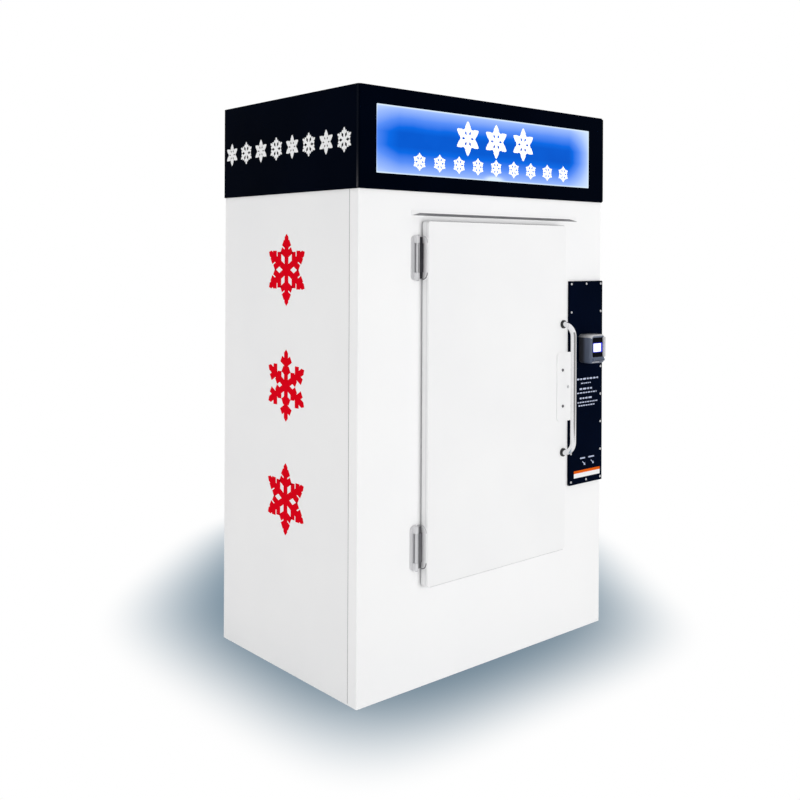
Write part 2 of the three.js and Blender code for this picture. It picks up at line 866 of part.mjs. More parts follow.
// Painted pan with rolled edges, open at the back.
function doorOuterPan() {
  const rings = [panRing(doorBackY, 0, panCorner)];
  const rollSteps = 4;
  for (let i = 0; i <= rollSteps; i += 1) {
    const angle = (i / rollSteps) * (Math.PI / 2);
    const pull = panEdgeRound * (1 - Math.cos(angle));
    rings.push(panRing(doorFaceY + panEdgeRound * (1 - Math.sin(angle)), -pull, panCorner));
  }
  const hollow = loft([
    panRing(doorBackY + 1, -skinThickness, panCorner),
    panRing(doorFaceY + skinThickness, -skinThickness, panCorner),
  ]);
  return cut(loft(rings), hollow);
}

function plugRing(y, depth, inset) {
  const shrink = (plugTaper * depth) / plugDepth + inset;
  return ringAt(y, plugWidth - 2 * shrink, plugHeight - 2 * shrink, plugCorner, doorMiddleX, openingCentreZ);
}

// Foam core: fills the pan and the liner's plug.
function doorFoam() {
  const panFill = loft([
    panRing(doorFaceY + skinThickness + seat, -skinThickness - seat, panCorner),
    panRing(doorBackY, -skinThickness - seat, panCorner),
  ]);
  const inset = doorLinerSheet + seat;
  const plugFill = loft([
    plugRing(doorBackY - 1, 0, inset),
    plugRing(frontY, 0, inset),
    plugRing(plugEnd - inset, plugDepth, inset),
  ]);
  return join(panFill, plugFill);
}

// Inner liner: a flat flange behind the pan, with a tapered plug pressed out of it.
function doorInnerLiner() {
  const flange = loft([
    panRing(doorBackY + seat, -seat, panCorner),
    panRing(linerFlangeBack, -seat, panCorner),
  ]);
  const plug = loft([
    plugRing(doorBackY + seat, 0, 0),
    plugRing(frontY, 0, 0),
    plugRing(plugEnd, plugDepth, 0),
  ]);
  const hollow = loft([
    plugRing(doorBackY - 1, 0, doorLinerSheet),
    plugRing(frontY, 0, doorLinerSheet),
    plugRing(plugEnd - doorLinerSheet, plugDepth, doorLinerSheet),
  ]);
  return cut(join(flange, plug), hollow);
}

// Magnetic gasket ring with a folded bellows on its outer edge.
function doorGasket() {
  const start = linerFlangeBack + seat;
  const end = frontY - seat;
  const middle = (start + end) / 2;
  const fold = 2.5;
  const outer = loft([
    panRing(start, -gasketInset, panCorner),
    panRing(middle, -gasketInset - fold, panCorner),
    panRing(end, -gasketInset, panCorner),
  ]);
  const hole = loft([
    panRing(start - 1, -gasketInset - gasketWidth, panCorner + gasketWidth),
    panRing(end + 1, -gasketInset - gasketWidth, panCorner + gasketWidth),
  ]);
  return cut(outer, hole);
}

// Guard plate over the door's free edge, square on the side that covers the latch.
function latchGuardPlate() {
  const x = guardLeft - pivotX;
  const shape = new THREE.Shape();
  const upper = guardBottom + guardHeight;
  shape.moveTo(x + guardWidth, guardBottom);
  shape.lineTo(x + guardWidth, upper);
  shape.lineTo(x + guardCorner, upper);
  shape.absarc(x + guardCorner, upper - guardCorner, guardCorner, Math.PI / 2, Math.PI);
  shape.lineTo(x, guardBottom + guardCorner);
  shape.absarc(x + guardCorner, guardBottom + guardCorner, guardCorner, Math.PI, Math.PI * 1.5);
  const face = doorFaceY - seat;
  const plate = prismY(shape, face - guardThickness, face, 6);
  const rivetHole = rodY(studRadius + seat, face - guardThickness - 1, face + 1, 16);
  return cut(plate, moved(rivetHole, studX - pivotX, 0, studZ));
}

// Stud riveted through the guard plate; its neck is what the latch bolt grips.
function strikerStud() {
  const plateBack = doorFaceY - seat;
  const plateFront = plateBack - guardThickness;
  const shoulder = plateBack + seat;
  const neck = frontY + studNeckBehindFront;
  const tip = neck + studNeckLength;
  return turnedY([
    [0, plateFront - seat - studHeadThickness],
    [studHeadRadius * 0.7, plateFront - seat - studHeadThickness],
    [studHeadRadius, plateFront - seat],
    [studRadius, plateFront - seat],
    [studRadius, shoulder],
    [studShoulderRadius, shoulder],
    [studShoulderRadius, shoulder + studShoulderLength],
    [studRadius, shoulder + studShoulderLength + 1],
    [studRadius, neck],
    [studNeckRadius, neck],
    [studNeckRadius, tip],
    [studRadius, tip],
    [studRadius, tip + studTipLength / 2],
    [studRadius / 2, tip + studTipLength],
    [0, tip + studTipLength],
  ], 12);
}

// Bent tube handle between its two flanges.
function doorHandle() {
  const x = handleX - pivotX;
  const start = doorFaceY - 2 * seat;
  const out = doorFaceY - handleStandoff;
  const corners = [
    [x, start, handleLower], [x, out, handleLower], [x, out, handleUpper], [x, start, handleUpper],
  ];
  return tube(bentPath(corners, handleBendRadius), handleTubeRadius, 30, 12);
}

function handleFlange() {
  const base = doorFaceY - seat;
  const inner = handleTubeRadius + 2 * seat;
  const outer = handleFlangeRadius;
  const rise = handleFlangeThickness;
  const edge = rise / 2;           // rounded edge of the front face
  return turnedY([
    [inner, base - rise],
    [outer - edge, base - rise],
    [outer - edge / 3, base - rise + edge / 2],
    [outer, base - edge],
    [outer, base],
    [inner, base],
    [inner, base - rise],
  ], 18);
}

// ---------------------------------------------------------------- hinges, drawn about the pivot axis

const middleKnuckleLow = hingeEndKnuckle + seat * 2;
const middleKnuckleHigh = hingeHeight - hingeEndKnuckle - seat * 2;

function knuckleBore() {
  return rodZ(hingePinRadius + seat, -1, hingeHeight + 1, 12);
}

// Cabinet leaf: a plate with round outer corners and a knuckle at each end.
function hingeLeaf() {
  const plateFront = frontY - seat - hingeLeafThickness;
  const plateBack = frontY - seat;
  const roundX = -hingeLeafReach + hingeLeafCorner;
  const shape = new THREE.Shape();
  shape.moveTo(knuckleRadius, 0);
  shape.lineTo(knuckleRadius, hingeHeight);
  shape.lineTo(roundX, hingeHeight);
  shape.absarc(roundX, hingeHeight - hingeLeafCorner, hingeLeafCorner, Math.PI / 2, Math.PI);
  shape.lineTo(-hingeLeafReach, hingeLeafCorner);
  shape.absarc(roundX, hingeLeafCorner, hingeLeafCorner, Math.PI, Math.PI * 1.5);
  const plate = prismY(shape, plateFront, plateBack, 5);
  const knuckles = [0, hingeHeight - hingeEndKnuckle].flatMap((low) => [
    rodZ(knuckleRadius, low, low + hingeEndKnuckle, 14),
    prismZ(outline([
      [-knuckleRadius, 0], [knuckleRadius, 0],
      [knuckleRadius, plateFront + 1], [-hingeLeafReach / 2, plateFront + 1],
    ]), low, low + hingeEndKnuckle),
  ]);
  return cut(join(plate, ...knuckles), knuckleBore());
}

// Door strap: a D-shaped plate on the door's edge, with a web to the middle knuckle.
function hingeStrap() {
  const plateX = pivotToDoor - seat - strapThickness;
  const round = strapFront + strapBack - strapFlat;
  const shape = new THREE.Shape();
  shape.moveTo(strapBack, 0);
  shape.lineTo(strapBack, hingeHeight);
  shape.lineTo(-strapFront + round, hingeHeight);
  shape.absarc(-strapFront + round, hingeHeight - round, round, Math.PI / 2, Math.PI);
  shape.lineTo(-strapFront, round);
  shape.absarc(-strapFront + round, round, round, Math.PI, Math.PI * 1.5);
  const plate = prismX(shape, plateX, plateX + strapThickness, 5);
  const knuckle = rodZ(knuckleRadius, middleKnuckleLow, middleKnuckleHigh, 14);
  const web = block(
    [0, -strapWeb / 2, middleKnuckleLow],
    [plateX + strapThickness / 2, strapWeb / 2, middleKnuckleHigh],
  );
  return cut(join(plate, knuckle, web), knuckleBore());
}

function hingePin() {
  const headBase = -seat;
  return turnedZ([
    [0, headBase - pinHeadHeight],
    [pinHeadRadius - 1, headBase - pinHeadHeight],
    [pinHeadRadius, headBase - pinHeadHeight + 1],
    [pinHeadRadius, headBase],
    [hingePinRadius, headBase],
    [hingePinRadius, hingeHeight + seat],
    [pinHeadRadius, hingeHeight + seat],
    [pinHeadRadius, hingeHeight + seat + pinHeadHeight - 1],
    [pinHeadRadius - 1, hingeHeight + seat + pinHeadHeight],
    [0, hingeHeight + seat + pinHeadHeight],
  ], 10);
}

// ---------------------------------------------------------------- drip rail and latch

// Rolled rail over the door: a flange on the front frame, a shelf that leans out and a front lip.
function dripRail() {
  const wallY = front - seat;
  const lipY = wallY - dripReach;
  const z = dripBottom;
  const flangeY = wallY - dripThickness;
  const profile = outline([
    [wallY, z], [wallY, z + dripFlangeHeight], [flangeY, z + dripFlangeHeight],
    [flangeY, z + dripThickness * 1.3], [lipY + dripThickness, z + dripRise + dripThickness],
    [lipY + dripThickness, z + dripRise + dripLipHeight], [lipY, z + dripRise + dripLipHeight],
    [lipY, z + dripRise],
  ]);
  const rail = prismX(profile, dripLeft, dripRight);
  const past = 2;
  const low = z - past;
  const high = z + dripFlangeHeight + past;
  const leftMitre = prismZ(outline([
    [dripLeft - past, lipY - past], [dripLipLeft, lipY - past], [dripLipLeft, lipY],
    [dripLeft, flangeY], [dripLeft - past, flangeY],
  ]), low, high);
  const rightMitre = prismZ(outline([
    [dripRight + past, lipY - past], [dripRight + past, flangeY], [dripRight, flangeY],
    [dripLipRight, lipY], [dripLipRight, lipY - past],
  ]), low, high);
  return cut(rail, leftMitre, rightMitre);
}

const caseFront = front + foamInset;
const boltFront = front + studNeckBehindFront + (studNeckLength - boltThickness) / 2;
const boltLocked = studX + studNeckRadius + boltSlotClearance - boltSlotDepth;
const boltReleased = boltLocked + boltTravel;

// Latch case: a steel box with a hole for the stud and two guides that carry the bolt.
function latchCase() {
  const low = [studX - caseWidth / 2, caseFront, studZ - caseHeight / 2];
  const high = [studX + caseWidth / 2, caseFront + caseDepth, studZ + caseHeight / 2];
  const shell = block(low, high);
  const hollow = block(low.map((value) => value + caseWall), high.map((value) => value - caseWall));
  const guides = [-1, 1].map((side) => {
    const nearZ = studZ + side * (boltHeight / 2 + seat);
    const farZ = nearZ + side * boltGuideHeight;
    return block(
      [boltReleased, boltFront - boltThickness, Math.min(nearZ, farZ)],
      [high[0] - caseWall / 2, high[1] - caseWall / 2, Math.max(nearZ, farZ)],
    );
  });
  const coil = moved(rodZ(caseDepth / 4, low[2] + caseWall / 2, studZ - caseHeight / 4, 20),
    studX + caseWidth / 8, caseFront + caseDepth / 2, 0);
  const studHole = moved(rodY(studHoleRadius, caseFront - 1, caseFront + caseWall + 1), studX, 0, studZ);
  return cut(join(cut(shell, hollow), ...guides, coil), studHole);
}

// Forked bolt, drawn released; it slides towards the stud to lock.
function latchBolt() {
  const low = [boltReleased, boltFront, studZ - boltHeight / 2];
  const high = [boltReleased + boltLength, boltFront + boltThickness, studZ + boltHeight / 2];
  const half = studNeckRadius + boltSlotClearance;
  const slot = block(
    [boltReleased - 1, boltFront - 1, studZ - half],
    [boltReleased + boltSlotDepth, boltFront + boltThickness + 1, studZ + half],
  );
  return cut(block(low, high), slot);
}

// ---------------------------------------------------------------- control column

// Tray behind the cover, open to the front.
function controlBox() {
  const shell = block([boxLeft, boxFront, boxBottom], [boxRight, boxBack, boxTop]);
  const hollow = block(
    [boxLeft + boxSheet, boxFront - 1, boxBottom + boxSheet],
    [boxRight - boxSheet, boxBack - boxSheet, boxTop - boxSheet],
  );
  return cut(shell, hollow);
}

// Cover with its edges turned back to the cabinet.
function controlCover() {
  const x = coverLeft + coverWidth / 2;
  const z = coverBottom + coverHeight / 2;
  const outer = prismY(roundedRect(coverWidth, coverHeight, coverCorner, x, z), coverFace, front - seat);
  const edges = 2 * coverSheet;
  const inner = prismY(
    roundedRect(coverWidth - edges, coverHeight - edges, coverCorner - coverSheet / 2, x, z),
    coverFace + coverSheet, front,
  );
  return cut(outer, inner);
}

// Controller board with its transformer, relays and terminal strip, on four standoffs.
function controlBoard() {
  const x = (boxLeft + boxRight) / 2;
  const wall = boxBack - boxSheet - seat;
  const face = wall - standoffHeight;
  const part = ([lowX, lowZ, width, height, rise], shift = 0) => block(
    [x + lowX + shift, face - boardThickness - rise, boardBottom + lowZ],
    [x + lowX + shift + width, face - boardThickness / 2, boardBottom + lowZ + height],
  );
  const board = block(
    [x - boardWidth / 2, face - boardThickness, boardBottom],
    [x + boardWidth / 2, face, boardBottom + boardHeight],
  );
  const holeX = boardWidth / 2 - boardHoleInset;
  const holeHeights = [boardHoleInset, boardHeight - boardHoleInset];
  const standoffs = [-holeX, holeX].flatMap((holeAt) => holeHeights.map((z) => moved(
    rodY(standoffRadius, face - boardThickness / 2, wall, 8), x + holeAt, 0, boardBottom + z,
  )));
  const relays = [];
  for (let i = 0; i < relayCount; i += 1) {
    relays.push(part(firstRelay, i * relayPitch));
  }
  return join(board, ...standoffs, part(transformer), part(terminalStrip), part(processor), ...relays);
}

const readerFace = -readerDepth;

// Reader housing about the middle of its back: a moulded body, a recess for the display and a lip
// with the card slot.
function readerHousing() {
  const shoulder = readerBevel / 1.5;
  const body = loft([
    ringAt(readerFace, readerWidth - 2 * readerBevel, readerHeight - 2 * readerBevel, readerCorner - 2),
    ringAt(readerFace + readerBevel / 2, readerWidth - shoulder, readerHeight - shoulder, readerCorner),
    ringAt(readerFace + readerBevel * 1.6, readerWidth, readerHeight, readerCorner),
    ringAt(-readerBevel, readerWidth, readerHeight, readerCorner),
    ringAt(0, readerWidth - readerBevel, readerHeight - readerBevel, readerCorner),
  ]);
  const lipLow = -readerHeight / 2 + readerBevel;
  const lipRoot = readerFace + readerBevel;
  const lipFace = readerFace - readerLipReach;
  const lipProfile = outline([
    [lipRoot, lipLow], [lipFace, lipLow + readerLipHeight * 0.35],
    [lipFace, lipLow + readerLipHeight * 0.8], [lipRoot, lipLow + readerLipHeight],
  ]);
  const lip = prismX(lipProfile, -displayWidth / 2, displayWidth / 2);
  const slotZ = lipLow + readerLipHeight / 2;
  const slot = block(
    [-readerSlotWidth / 2, lipFace - 1, slotZ - readerSlotHeight / 2],
    [readerSlotWidth / 2, readerFace + readerDepth / 3, slotZ + readerSlotHeight / 2],
  );
  const recess = prismY(
    roundedRect(displayWidth + 2 * seat, displayHeight + 2 * seat, displayCorner, 0, displayRise),
    readerFace - 1, readerFace + displayRecess,
  );
  return cut(join(body, lip), slot, recess);
}

function readerDisplay() {
  const glassBack = readerFace + displayRecess - seat;
  const window = roundedRect(displayWidth, displayHeight, displayCorner, 0, displayRise);
  return prismY(window, glassBack - displayThickness, glassBack);
}

// ---------------------------------------------------------------- canopy

// Front panel with rounded corners, the sign opening, a drip edge below and a top flange.
function canopyFrontPanel() {
  const t = canopySheet;
  const bendX = canopySide - canopyCorner;
  const bendY = canopyFront + canopyCorner;
  const endY = bendY + canopyReturn;
  const plan = new THREE.Shape();
  plan.moveTo(-canopySide, endY);
  plan.lineTo(-canopySide, bendY);
  plan.absarc(-bendX, bendY, canopyCorner, Math.PI, Math.PI * 1.5);
  plan.lineTo(bendX, canopyFront);
  plan.absarc(bendX, bendY, canopyCorner, -Math.PI / 2, 0);
  plan.lineTo(canopySide, endY);
  plan.lineTo(canopySide - t, endY);
  plan.lineTo(canopySide - t, bendY);
  plan.absarc(bendX, bendY, canopyCorner - t, 0, -Math.PI / 2, true);
  plan.lineTo(-bendX, canopyFront + t);
  plan.absarc(-bendX, bendY, canopyCorner - t, Math.PI * 1.5, Math.PI, true);
  plan.lineTo(-canopySide + t, endY);
  const skin = prismZ(plan, bodyHeight, top, 5);
  const inFront = canopyFront + t / 2;
  const dripEdge = block([-bendX, inFront, bodyHeight], [bendX, front - seat, bodyHeight + t]);
  const flangeEnd = canopySide - canopyTopFlange - seat;
  const topFlange = block([-flangeEnd, inFront, top - t], [flangeEnd, canopyFront + canopyTopFlange, top]);
  const sign = roundedRect(signWidth, signHeight, signCorner, signCentreX, signCentreZ);
  return cut(join(skin, dripEdge, topFlange), prismY(sign, canopyFront - 1, canopyFront + t + 1));
}

// Side skin with its drip edge and top flange; side is 1 for right and -1 for left.
function canopySidePanel(side) {
  const t = canopySheet;
  const at = (x) => side * x;
  const profile = outline([
    [at(right + seat), bodyHeight], [at(canopySide), bodyHeight], [at(canopySide), top],
    [at(canopySide - canopyTopFlange), top], [at(canopySide - canopyTopFlange), top - t],
    [at(canopySide - t), top - t], [at(canopySide - t), bodyHeight + t], [at(right + seat), bodyHeight + t],
  ]);
  return prismY(profile, canopyFront + canopyCorner + canopyReturn + seat, back);
}

function canopyTopCover() {
  const edge = canopySide - canopySheet - seat;
  const start = canopyFront + canopyCorner;
  return block([-edge, start, lidTop - canopySheet], [edge, back - canopySheet - seat, lidTop]);
}

// Rear panel with two fields of louvres; each louvre is a slot under a pressed hood.
function rearLouvrePanel() {
  const t = canopySheet;
  const edge = canopySide - canopySheet - seat;
  const sheet = block([-edge, back - t, deckTop + seat], [edge, back, lidTop]);
  const slots = [];
  const hoods = [];
  for (const x of [-louvreFieldX, louvreFieldX]) {
    for (let i = 0; i < louvreCount; i += 1) {
      const z = louvreFieldBottom + i * louvrePitch;
      const low = x - louvreWidth / 2;
      const high = x + louvreWidth / 2;
      slots.push(block([low, back - t - 1, z], [high, back + 1, z + louvreHeight]));
      const hood = prismX(outline([
        [back - t, z + louvreHeight + t], [back - t, z + louvreHeight], [back + louvreHood - t, z],
        [back + louvreHood, z], [back, z + louvreHeight + 2 * t],
      ]), low - t, high + t);
      const cheek = (start) => prismX(outline([
        [back - t / 2, z], [back + louvreHood - t / 2, z], [back - t / 2, z + louvreHeight + t],
      ]), start, start + t);
      hoods.push(hood, cheek(low - t), cheek(high));
    }
  }
  const bore = moved(rodY(glandNeckRadius + seat, back - t - 1, back + 1, 12), glandX, 0, glandZ);
  return join(cut(sheet, ...slots, bore), ...hoods);
}

function signPanel() {
  return prismY(
    roundedRect(signWidth + 2 * signLap, signHeight + 2 * signLap, signCorner, signCentreX, signCentreZ),
    signFace, signFace + signThickness,
  );
}

// Reflector pan behind the sign, open to the front.
function signLightBox() {
  const t = lightBoxSheet;
  const shell = block(
    [lightBoxLeft, lightBoxFront, lightBoxBottom],
    [lightBoxRight, lightBoxBack, lightBoxTop],
  );
  const hollow = block(
    [lightBoxLeft + t, lightBoxFront - 1, lightBoxBottom + t],
    [lightBoxRight - t, lightBoxBack - t, lightBoxTop - t],
  );
  return cut(shell, hollow);
}

// Lamp strip about its seat: a channel with a round lens.
function ledStrip() {
  const profile = new THREE.Shape();
  profile.moveTo(-ledWidth / 2, 0);
  profile.lineTo(ledWidth / 2, 0);
  profile.lineTo(ledWidth / 2, ledHeight / 2);
  profile.lineTo(ledWidth / 3, ledHeight / 2);
  profile.absellipse(0, ledHeight / 2, ledWidth / 3, ledHeight / 2, 0, Math.PI);
  profile.lineTo(-ledWidth / 2, ledHeight / 2);
  return prismX(profile, -ledLength / 2, ledLength / 2, 4);
}

// Cable gland: a hexagonal body, a flange inside and a domed nut outside, with a through bore.
function powerInletGland() {
  const hexBack = back + seat + glandHexThickness;
  const hex = rodY(glandHexRadius, back + seat, hexBack, 6);
  const nutRadius = glandHexRadius * 0.8;
  const dome = turnedY([
    [0, hexBack - 1], [nutRadius, hexBack - 1], [nutRadius, back + glandNutOut],
    [nutRadius * 0.75, back + glandDomeOut], [0, back + glandDomeOut],
  ], 14);
  const neck = rodY(glandNeckRadius, back - glandNeckIn, back + glandHexThickness / 2, 12);
  const bore = rodY(glandBoreRadius, back - glandNeckIn - 1, back + glandDomeOut + 1, 12);
  return cut(join(hex, dome, neck), bore);
}

// ---------------------------------------------------------------- refrigeration

// Hub with swept, twisted blades about the +Y axis.
function fanRotor(tipRadius, hubRadius, hubLength, chord) {
  const hub = turnedY([
    [0, -hubLength / 2], [hubRadius * 0.7, -hubLength / 2], [hubRadius, -hubLength / 3],
    [hubRadius, hubLength / 2], [0, hubLength / 2],
  ], 16);
  const stations = 4;
  const rings = [];
  const rootRadius = hubRadius * 0.8;
  for (let i = 0; i < stations; i += 1) {
    const share = i / (stations - 1);
    const radius = rootRadius + (tipRadius - rootRadius) * share;
    const pitch = bladeRootPitch + (bladeTipPitch - bladeRootPitch) * share;
    const sweep = bladeSweep * share * share;
    const width = chord * (0.75 + 0.45 * share);
    const thickness = bladeThickness - share;
    const section = [[-0.5, 0], [-0.2, -0.5], [0.3, -0.4], [0.5, 0], [0.3, 0.4], [-0.2, 0.5]];
    rings.push(section.map(([along, across]) => {
      const camber = bladeCamber * (1 - 4 * along * along);
      const u = along * width;
      const v = across * thickness + camber;
      const tangent = u * Math.cos(pitch) - v * Math.sin(pitch);
      const axial = u * Math.sin(pitch) + v * Math.cos(pitch);
      const angle = sweep + tangent / radius;
      return new THREE.Vector3(radius * Math.cos(angle), axial, radius * Math.sin(angle));
    }));
  }
  const blades = [];
  for (let i = 0; i < bladeCount; i += 1) {
    const blade = loft(rings);
    blade.rotateY((i * Math.PI * 2) / bladeCount);
    blades.push(blade);
  }
  const bore = rodY(shaftRadius + runningGap, -hubLength, hubLength / 4, 12);
  return cut(join(hub, ...blades), bore);
}

// Fan motor about the rotor's middle: a can on a three-legged spider, with its shaft in the hub.
function fanMotor(hubLength, legReach, legFace) {
  const face = -hubLength / 2 - motorToHub;
  const rear = face - motorLength;
  const can = turnedY([
    [0, rear], [motorRadius * 0.6, rear], [motorRadius, rear + motorShoulder],
    [motorRadius, face - motorShoulder], [motorRadius * 0.7, face], [0, face],
  ], 16);
  const shaft = rodY(shaftRadius, face - 1, hubLength / 4 - runningGap, 12);
  const half = spiderWidth / 2;
  const legY = (face + rear) / 2;
  const legs = [];
  for (let i = 0; i < spiderLegs; i += 1) {
    const leg = block([-half, legY, motorRadius * 0.8], [half, legY + spiderThickness, legReach]);
    const foot = block([-half, legY, legReach - 2 * spiderThickness], [half, legFace, legReach]);
    const arm = join(leg, foot);
    arm.rotateY((i * Math.PI * 2) / spiderLegs);
    legs.push(arm);
  }
  return join(can, shaft, ...legs);
}

const returnBends = 3;             // on each end of a coil
const coilRowPitch = (height) => height / (returnBends * 2 + 2);

// Finned coil about the middle of its base: a comb of fins between end plates, with return bends.
function finnedCoil(width, height, depth, finPitch) {
  const plate = 2;
  const core = depth * 0.6;
  const fins = Math.floor((width - 2 * plate) / finPitch);
  const start = -(fins * finPitch) / 2;
  const nearSide = [];
  const farSide = [];
  const finWidth = finPitch * 0.4;
  for (let i = 0; i < fins; i += 1) {
    const x = start + i * finPitch + (finPitch - finWidth) / 2;
    nearSide.push([x, -core / 2], [x, -depth / 2], [x + finWidth, -depth / 2], [x + finWidth, -core / 2]);
    farSide.push([x, core / 2], [x, depth / 2], [x + finWidth, depth / 2], [x + finWidth, core / 2]);
  }
  const half = width / 2;
  const comb = outline([
    [-half, -core / 2], ...nearSide, [half, -core / 2],
    [half, core / 2], ...farSide.reverse(), [-half, core / 2],
  ]);
  const body = prismZ(comb, 1, height - 1);
  const ends = [-1, 1].map((side) => block(
    [Math.min(side * half, side * (half - plate)), -depth / 2, 0],
    [Math.max(side * half, side * (half - plate)), depth / 2, height],
  ));
  const bends = [];
  const rowPitch = coilRowPitch(height);
  for (const side of [-1, 1]) {
    for (let i = 0; i < returnBends; i += 1) {
      const z = rowPitch * (2 * i + (side > 0 ? 1 : 2));
      const inside = side * (half - plate / 2);
      const outside = side * (half + rowPitch * 0.45);
      const next = z + rowPitch;
      const corners = [[inside, 0, z], [outside, 0, z], [outside, 0, next], [inside, 0, next]];
      bends.push(tube(bentPath(corners, rowPitch * 0.4), coilTubeRadius, 4, 6));
    }
  }
  return join(body, ...ends, ...bends);
}

// Evaporator casing: a sheet box open at the back and below, with the fan's ring in front.
function evaporatorHousing() {
  const t = evaporatorSheet;
  const half = evaporatorWidth / 2;
  const shell = block([-half, evaporatorFront, evaporatorBottom], [half, evaporatorBack, evaporatorTop]);
  const hollow = block(
    [-half + t, evaporatorFront + t, evaporatorBottom - 1],
    [half - t, evaporatorBack + 1, evaporatorTop - t],
  );
  const fanZ = evaporatorTop - evaporatorHeight / 2;
  const holeRadius = evaporatorFanRadius + fanTipGap;
  const ringEnd = evaporatorFront + ringLength;
  const ring = moved(rodY(holeRadius + t, evaporatorFront + t / 2, ringEnd, 26), 0, 0, fanZ);
  const hole = moved(rodY(holeRadius, evaporatorFront - 1, ringEnd + 1, 26), 0, 0, fanZ);
  return cut(
    join(cut(shell, hollow), ring), hole,
    lineHole(suctionLineX, suctionRadius, evaporatorTop - t - 1, evaporatorTop + 1),
    lineHole(liquidLineX, liquidRadius, evaporatorTop - t - 1, evaporatorTop + 1),
  );
}

// Drain pan under the evaporator, sloped to a spout at the back.
function drainPan() {
  const t = evaporatorSheet;
  const half = evaporatorWidth / 2 - t - seat;
  const near = evaporatorFront + t + seat;
  const far = evaporatorBack;
  const rim = evaporatorBottom + drainRim;
  const shallow = rim - drainPanDepth;
  const deep = shallow - drainSlope;
  const outer = prismX(outline([[near, rim], [near, shallow], [far, deep], [far, rim]]), -half, half);
  const inner = prismX(outline([
    [near + t, rim + 1], [near + t, shallow + t], [far - t, deep + t], [far - t, rim + 1],
  ]), -half + t, half - t);
  const spoutY = far - 3 * drainSpoutRadius;
  const spoutLow = deep - drainSpoutLength;
  const spout = moved(rodZ(drainSpoutRadius, spoutLow, deep + t / 2, 16), 0, spoutY, 0);
  const bore = moved(rodZ(drainSpoutRadius - 2 * t, spoutLow - 1, shallow, 16), 0, spoutY, 0);
  return cut(join(cut(outer, inner), spout), bore);
}

// Folded base of the condensing unit: a top with its long edges turned down.
function condensingTray() {
  const half = trayWidth / 2;
  const low = deckTop + seat;
  const t = traySheet;
  const profile = outline([
    [-half, low], [-half + t, low], [-half + t, trayTop - t], [half - t, trayTop - t], [half - t, low],
    [half, low], [half, trayTop], [-half, trayTop],
  ]);
  const folded = prismY(profile, trayBack - trayDepth, trayBack);
  return cut(
    folded,
    lineHole(suctionLineX, suctionRadius + 2, low - 1, trayTop + 1),
    lineHole(liquidLineX, liquidRadius + 2, low - 1, trayTop + 1),
  );
}

// Hermetic compressor about the middle of its base: a domed can with its weld flange, three feet,
// the terminal box and the suction stub.
function compressor() {
  const r = compressorRadius;
  const h = compressorHeight;
  const foot = compressorFoot;
  const profile = [[0, foot]];
  const domeSteps = 3;
  for (let i = 0; i <= domeSteps; i += 1) {
    const angle = (i / domeSteps) * (Math.PI / 2);
    profile.push([r * (0.35 + 0.65 * Math.sin(angle)), foot + r * 0.4 * (1 - Math.cos(angle))]);
  }
  const seamLow = h / 2;
  const seamHigh = seamLow + weldFlange;
  profile.push([r, seamLow], [r + weldFlange, seamLow], [r + weldFlange, seamHigh], [r, seamHigh]);
  for (let i = 0; i <= domeSteps; i += 1) {
    const angle = (i / domeSteps) * (Math.PI / 2);
    profile.push([r * (0.35 + 0.65 * Math.cos(angle)), h - r * 0.45 * (1 - Math.sin(angle))]);
  }
  profile.push([0, h]);
  const can = turnedZ(profile, 16);
  const feet = [];
  for (let i = 0; i < compressorFeet; i += 1) {
    const arm = block([0, -compressorArm / 2, foot - 4], [r * 1.12, compressorArm / 2, foot + 2]);
    const grommet = moved(rodZ(compressorArm / 3, seat, foot - 3, 12), r * 0.98, 0, 0);
    const leg = join(arm, grommet);
    leg.rotateZ((i * Math.PI * 2) / compressorFeet + Math.PI / 6);
    feet.push(leg);
  }
  const half = terminalBox / 2;
  const terminals = block([-half, -r - half, seamLow - half], [half, -r + weldFlange * 2, seamLow + half]);
  return join(can, ...feet, terminals);
}

// Fan shroud: a duct against the coil with a rolled ring where the fan turns.
function fanShroud() {
  const half = coilWidth / 2;
  const t = shroudSheet;
  const shell = block([-half, 0, 0], [half, shroudDepth, coilHeight]);
  const hollow = block([-half + t, t, t], [half - t, shroudDepth + 1, coilHeight - t]);
  const z = coilHeight / 2;
  const hole = fanRadius + fanTipGap;
  const mouth = -shroudRingOut;
  const ring = moved(turnedY([
    [0, mouth], [hole + 2 * t, mouth], [hole + t, mouth + 4 * t], [hole + t, shroudRingIn], [0, shroudRingIn],
  ], 28), 0, 0, z);
  const through = moved(rodY(hole, mouth - 1, shroudRingIn + 1, 28), 0, 0, z);
  return cut(join(cut(shell, hollow), ring), through);
}

// Suction line: up from the evaporator coil, then across to the compressor's can.
function suctionLine(lowEnd) {
  const over = deckTop + suctionRise;
  const canSide = compressorX - compressorRadius - seat;
  const corners = [[suctionLineX, lineY, lowEnd], [suctionLineX, lineY, over], [canSide, lineY, over]];
  return tube(bentPath(corners, suctionRadius * 2.5), suctionRadius, 16, 8);
}

// Liquid line: up from the evaporator coil, back and across to the condenser's lowest row.
function liquidLine(lowEnd, coilY) {
  const x = liquidLineX;
  const row = trayTop + seat + coilRowPitch(coilHeight);
  const coilSide = coilX - coilWidth / 2 - seat;
  const corners = [[x, lineY, lowEnd], [x, lineY, row], [x, coilY, row], [coilSide, coilY, row]];
  return tube(bentPath(corners, liquidRadius * 3), liquidRadius, 26, 6);
}

// ---------------------------------------------------------------- the assembly

const freezer = new THREE.Group();

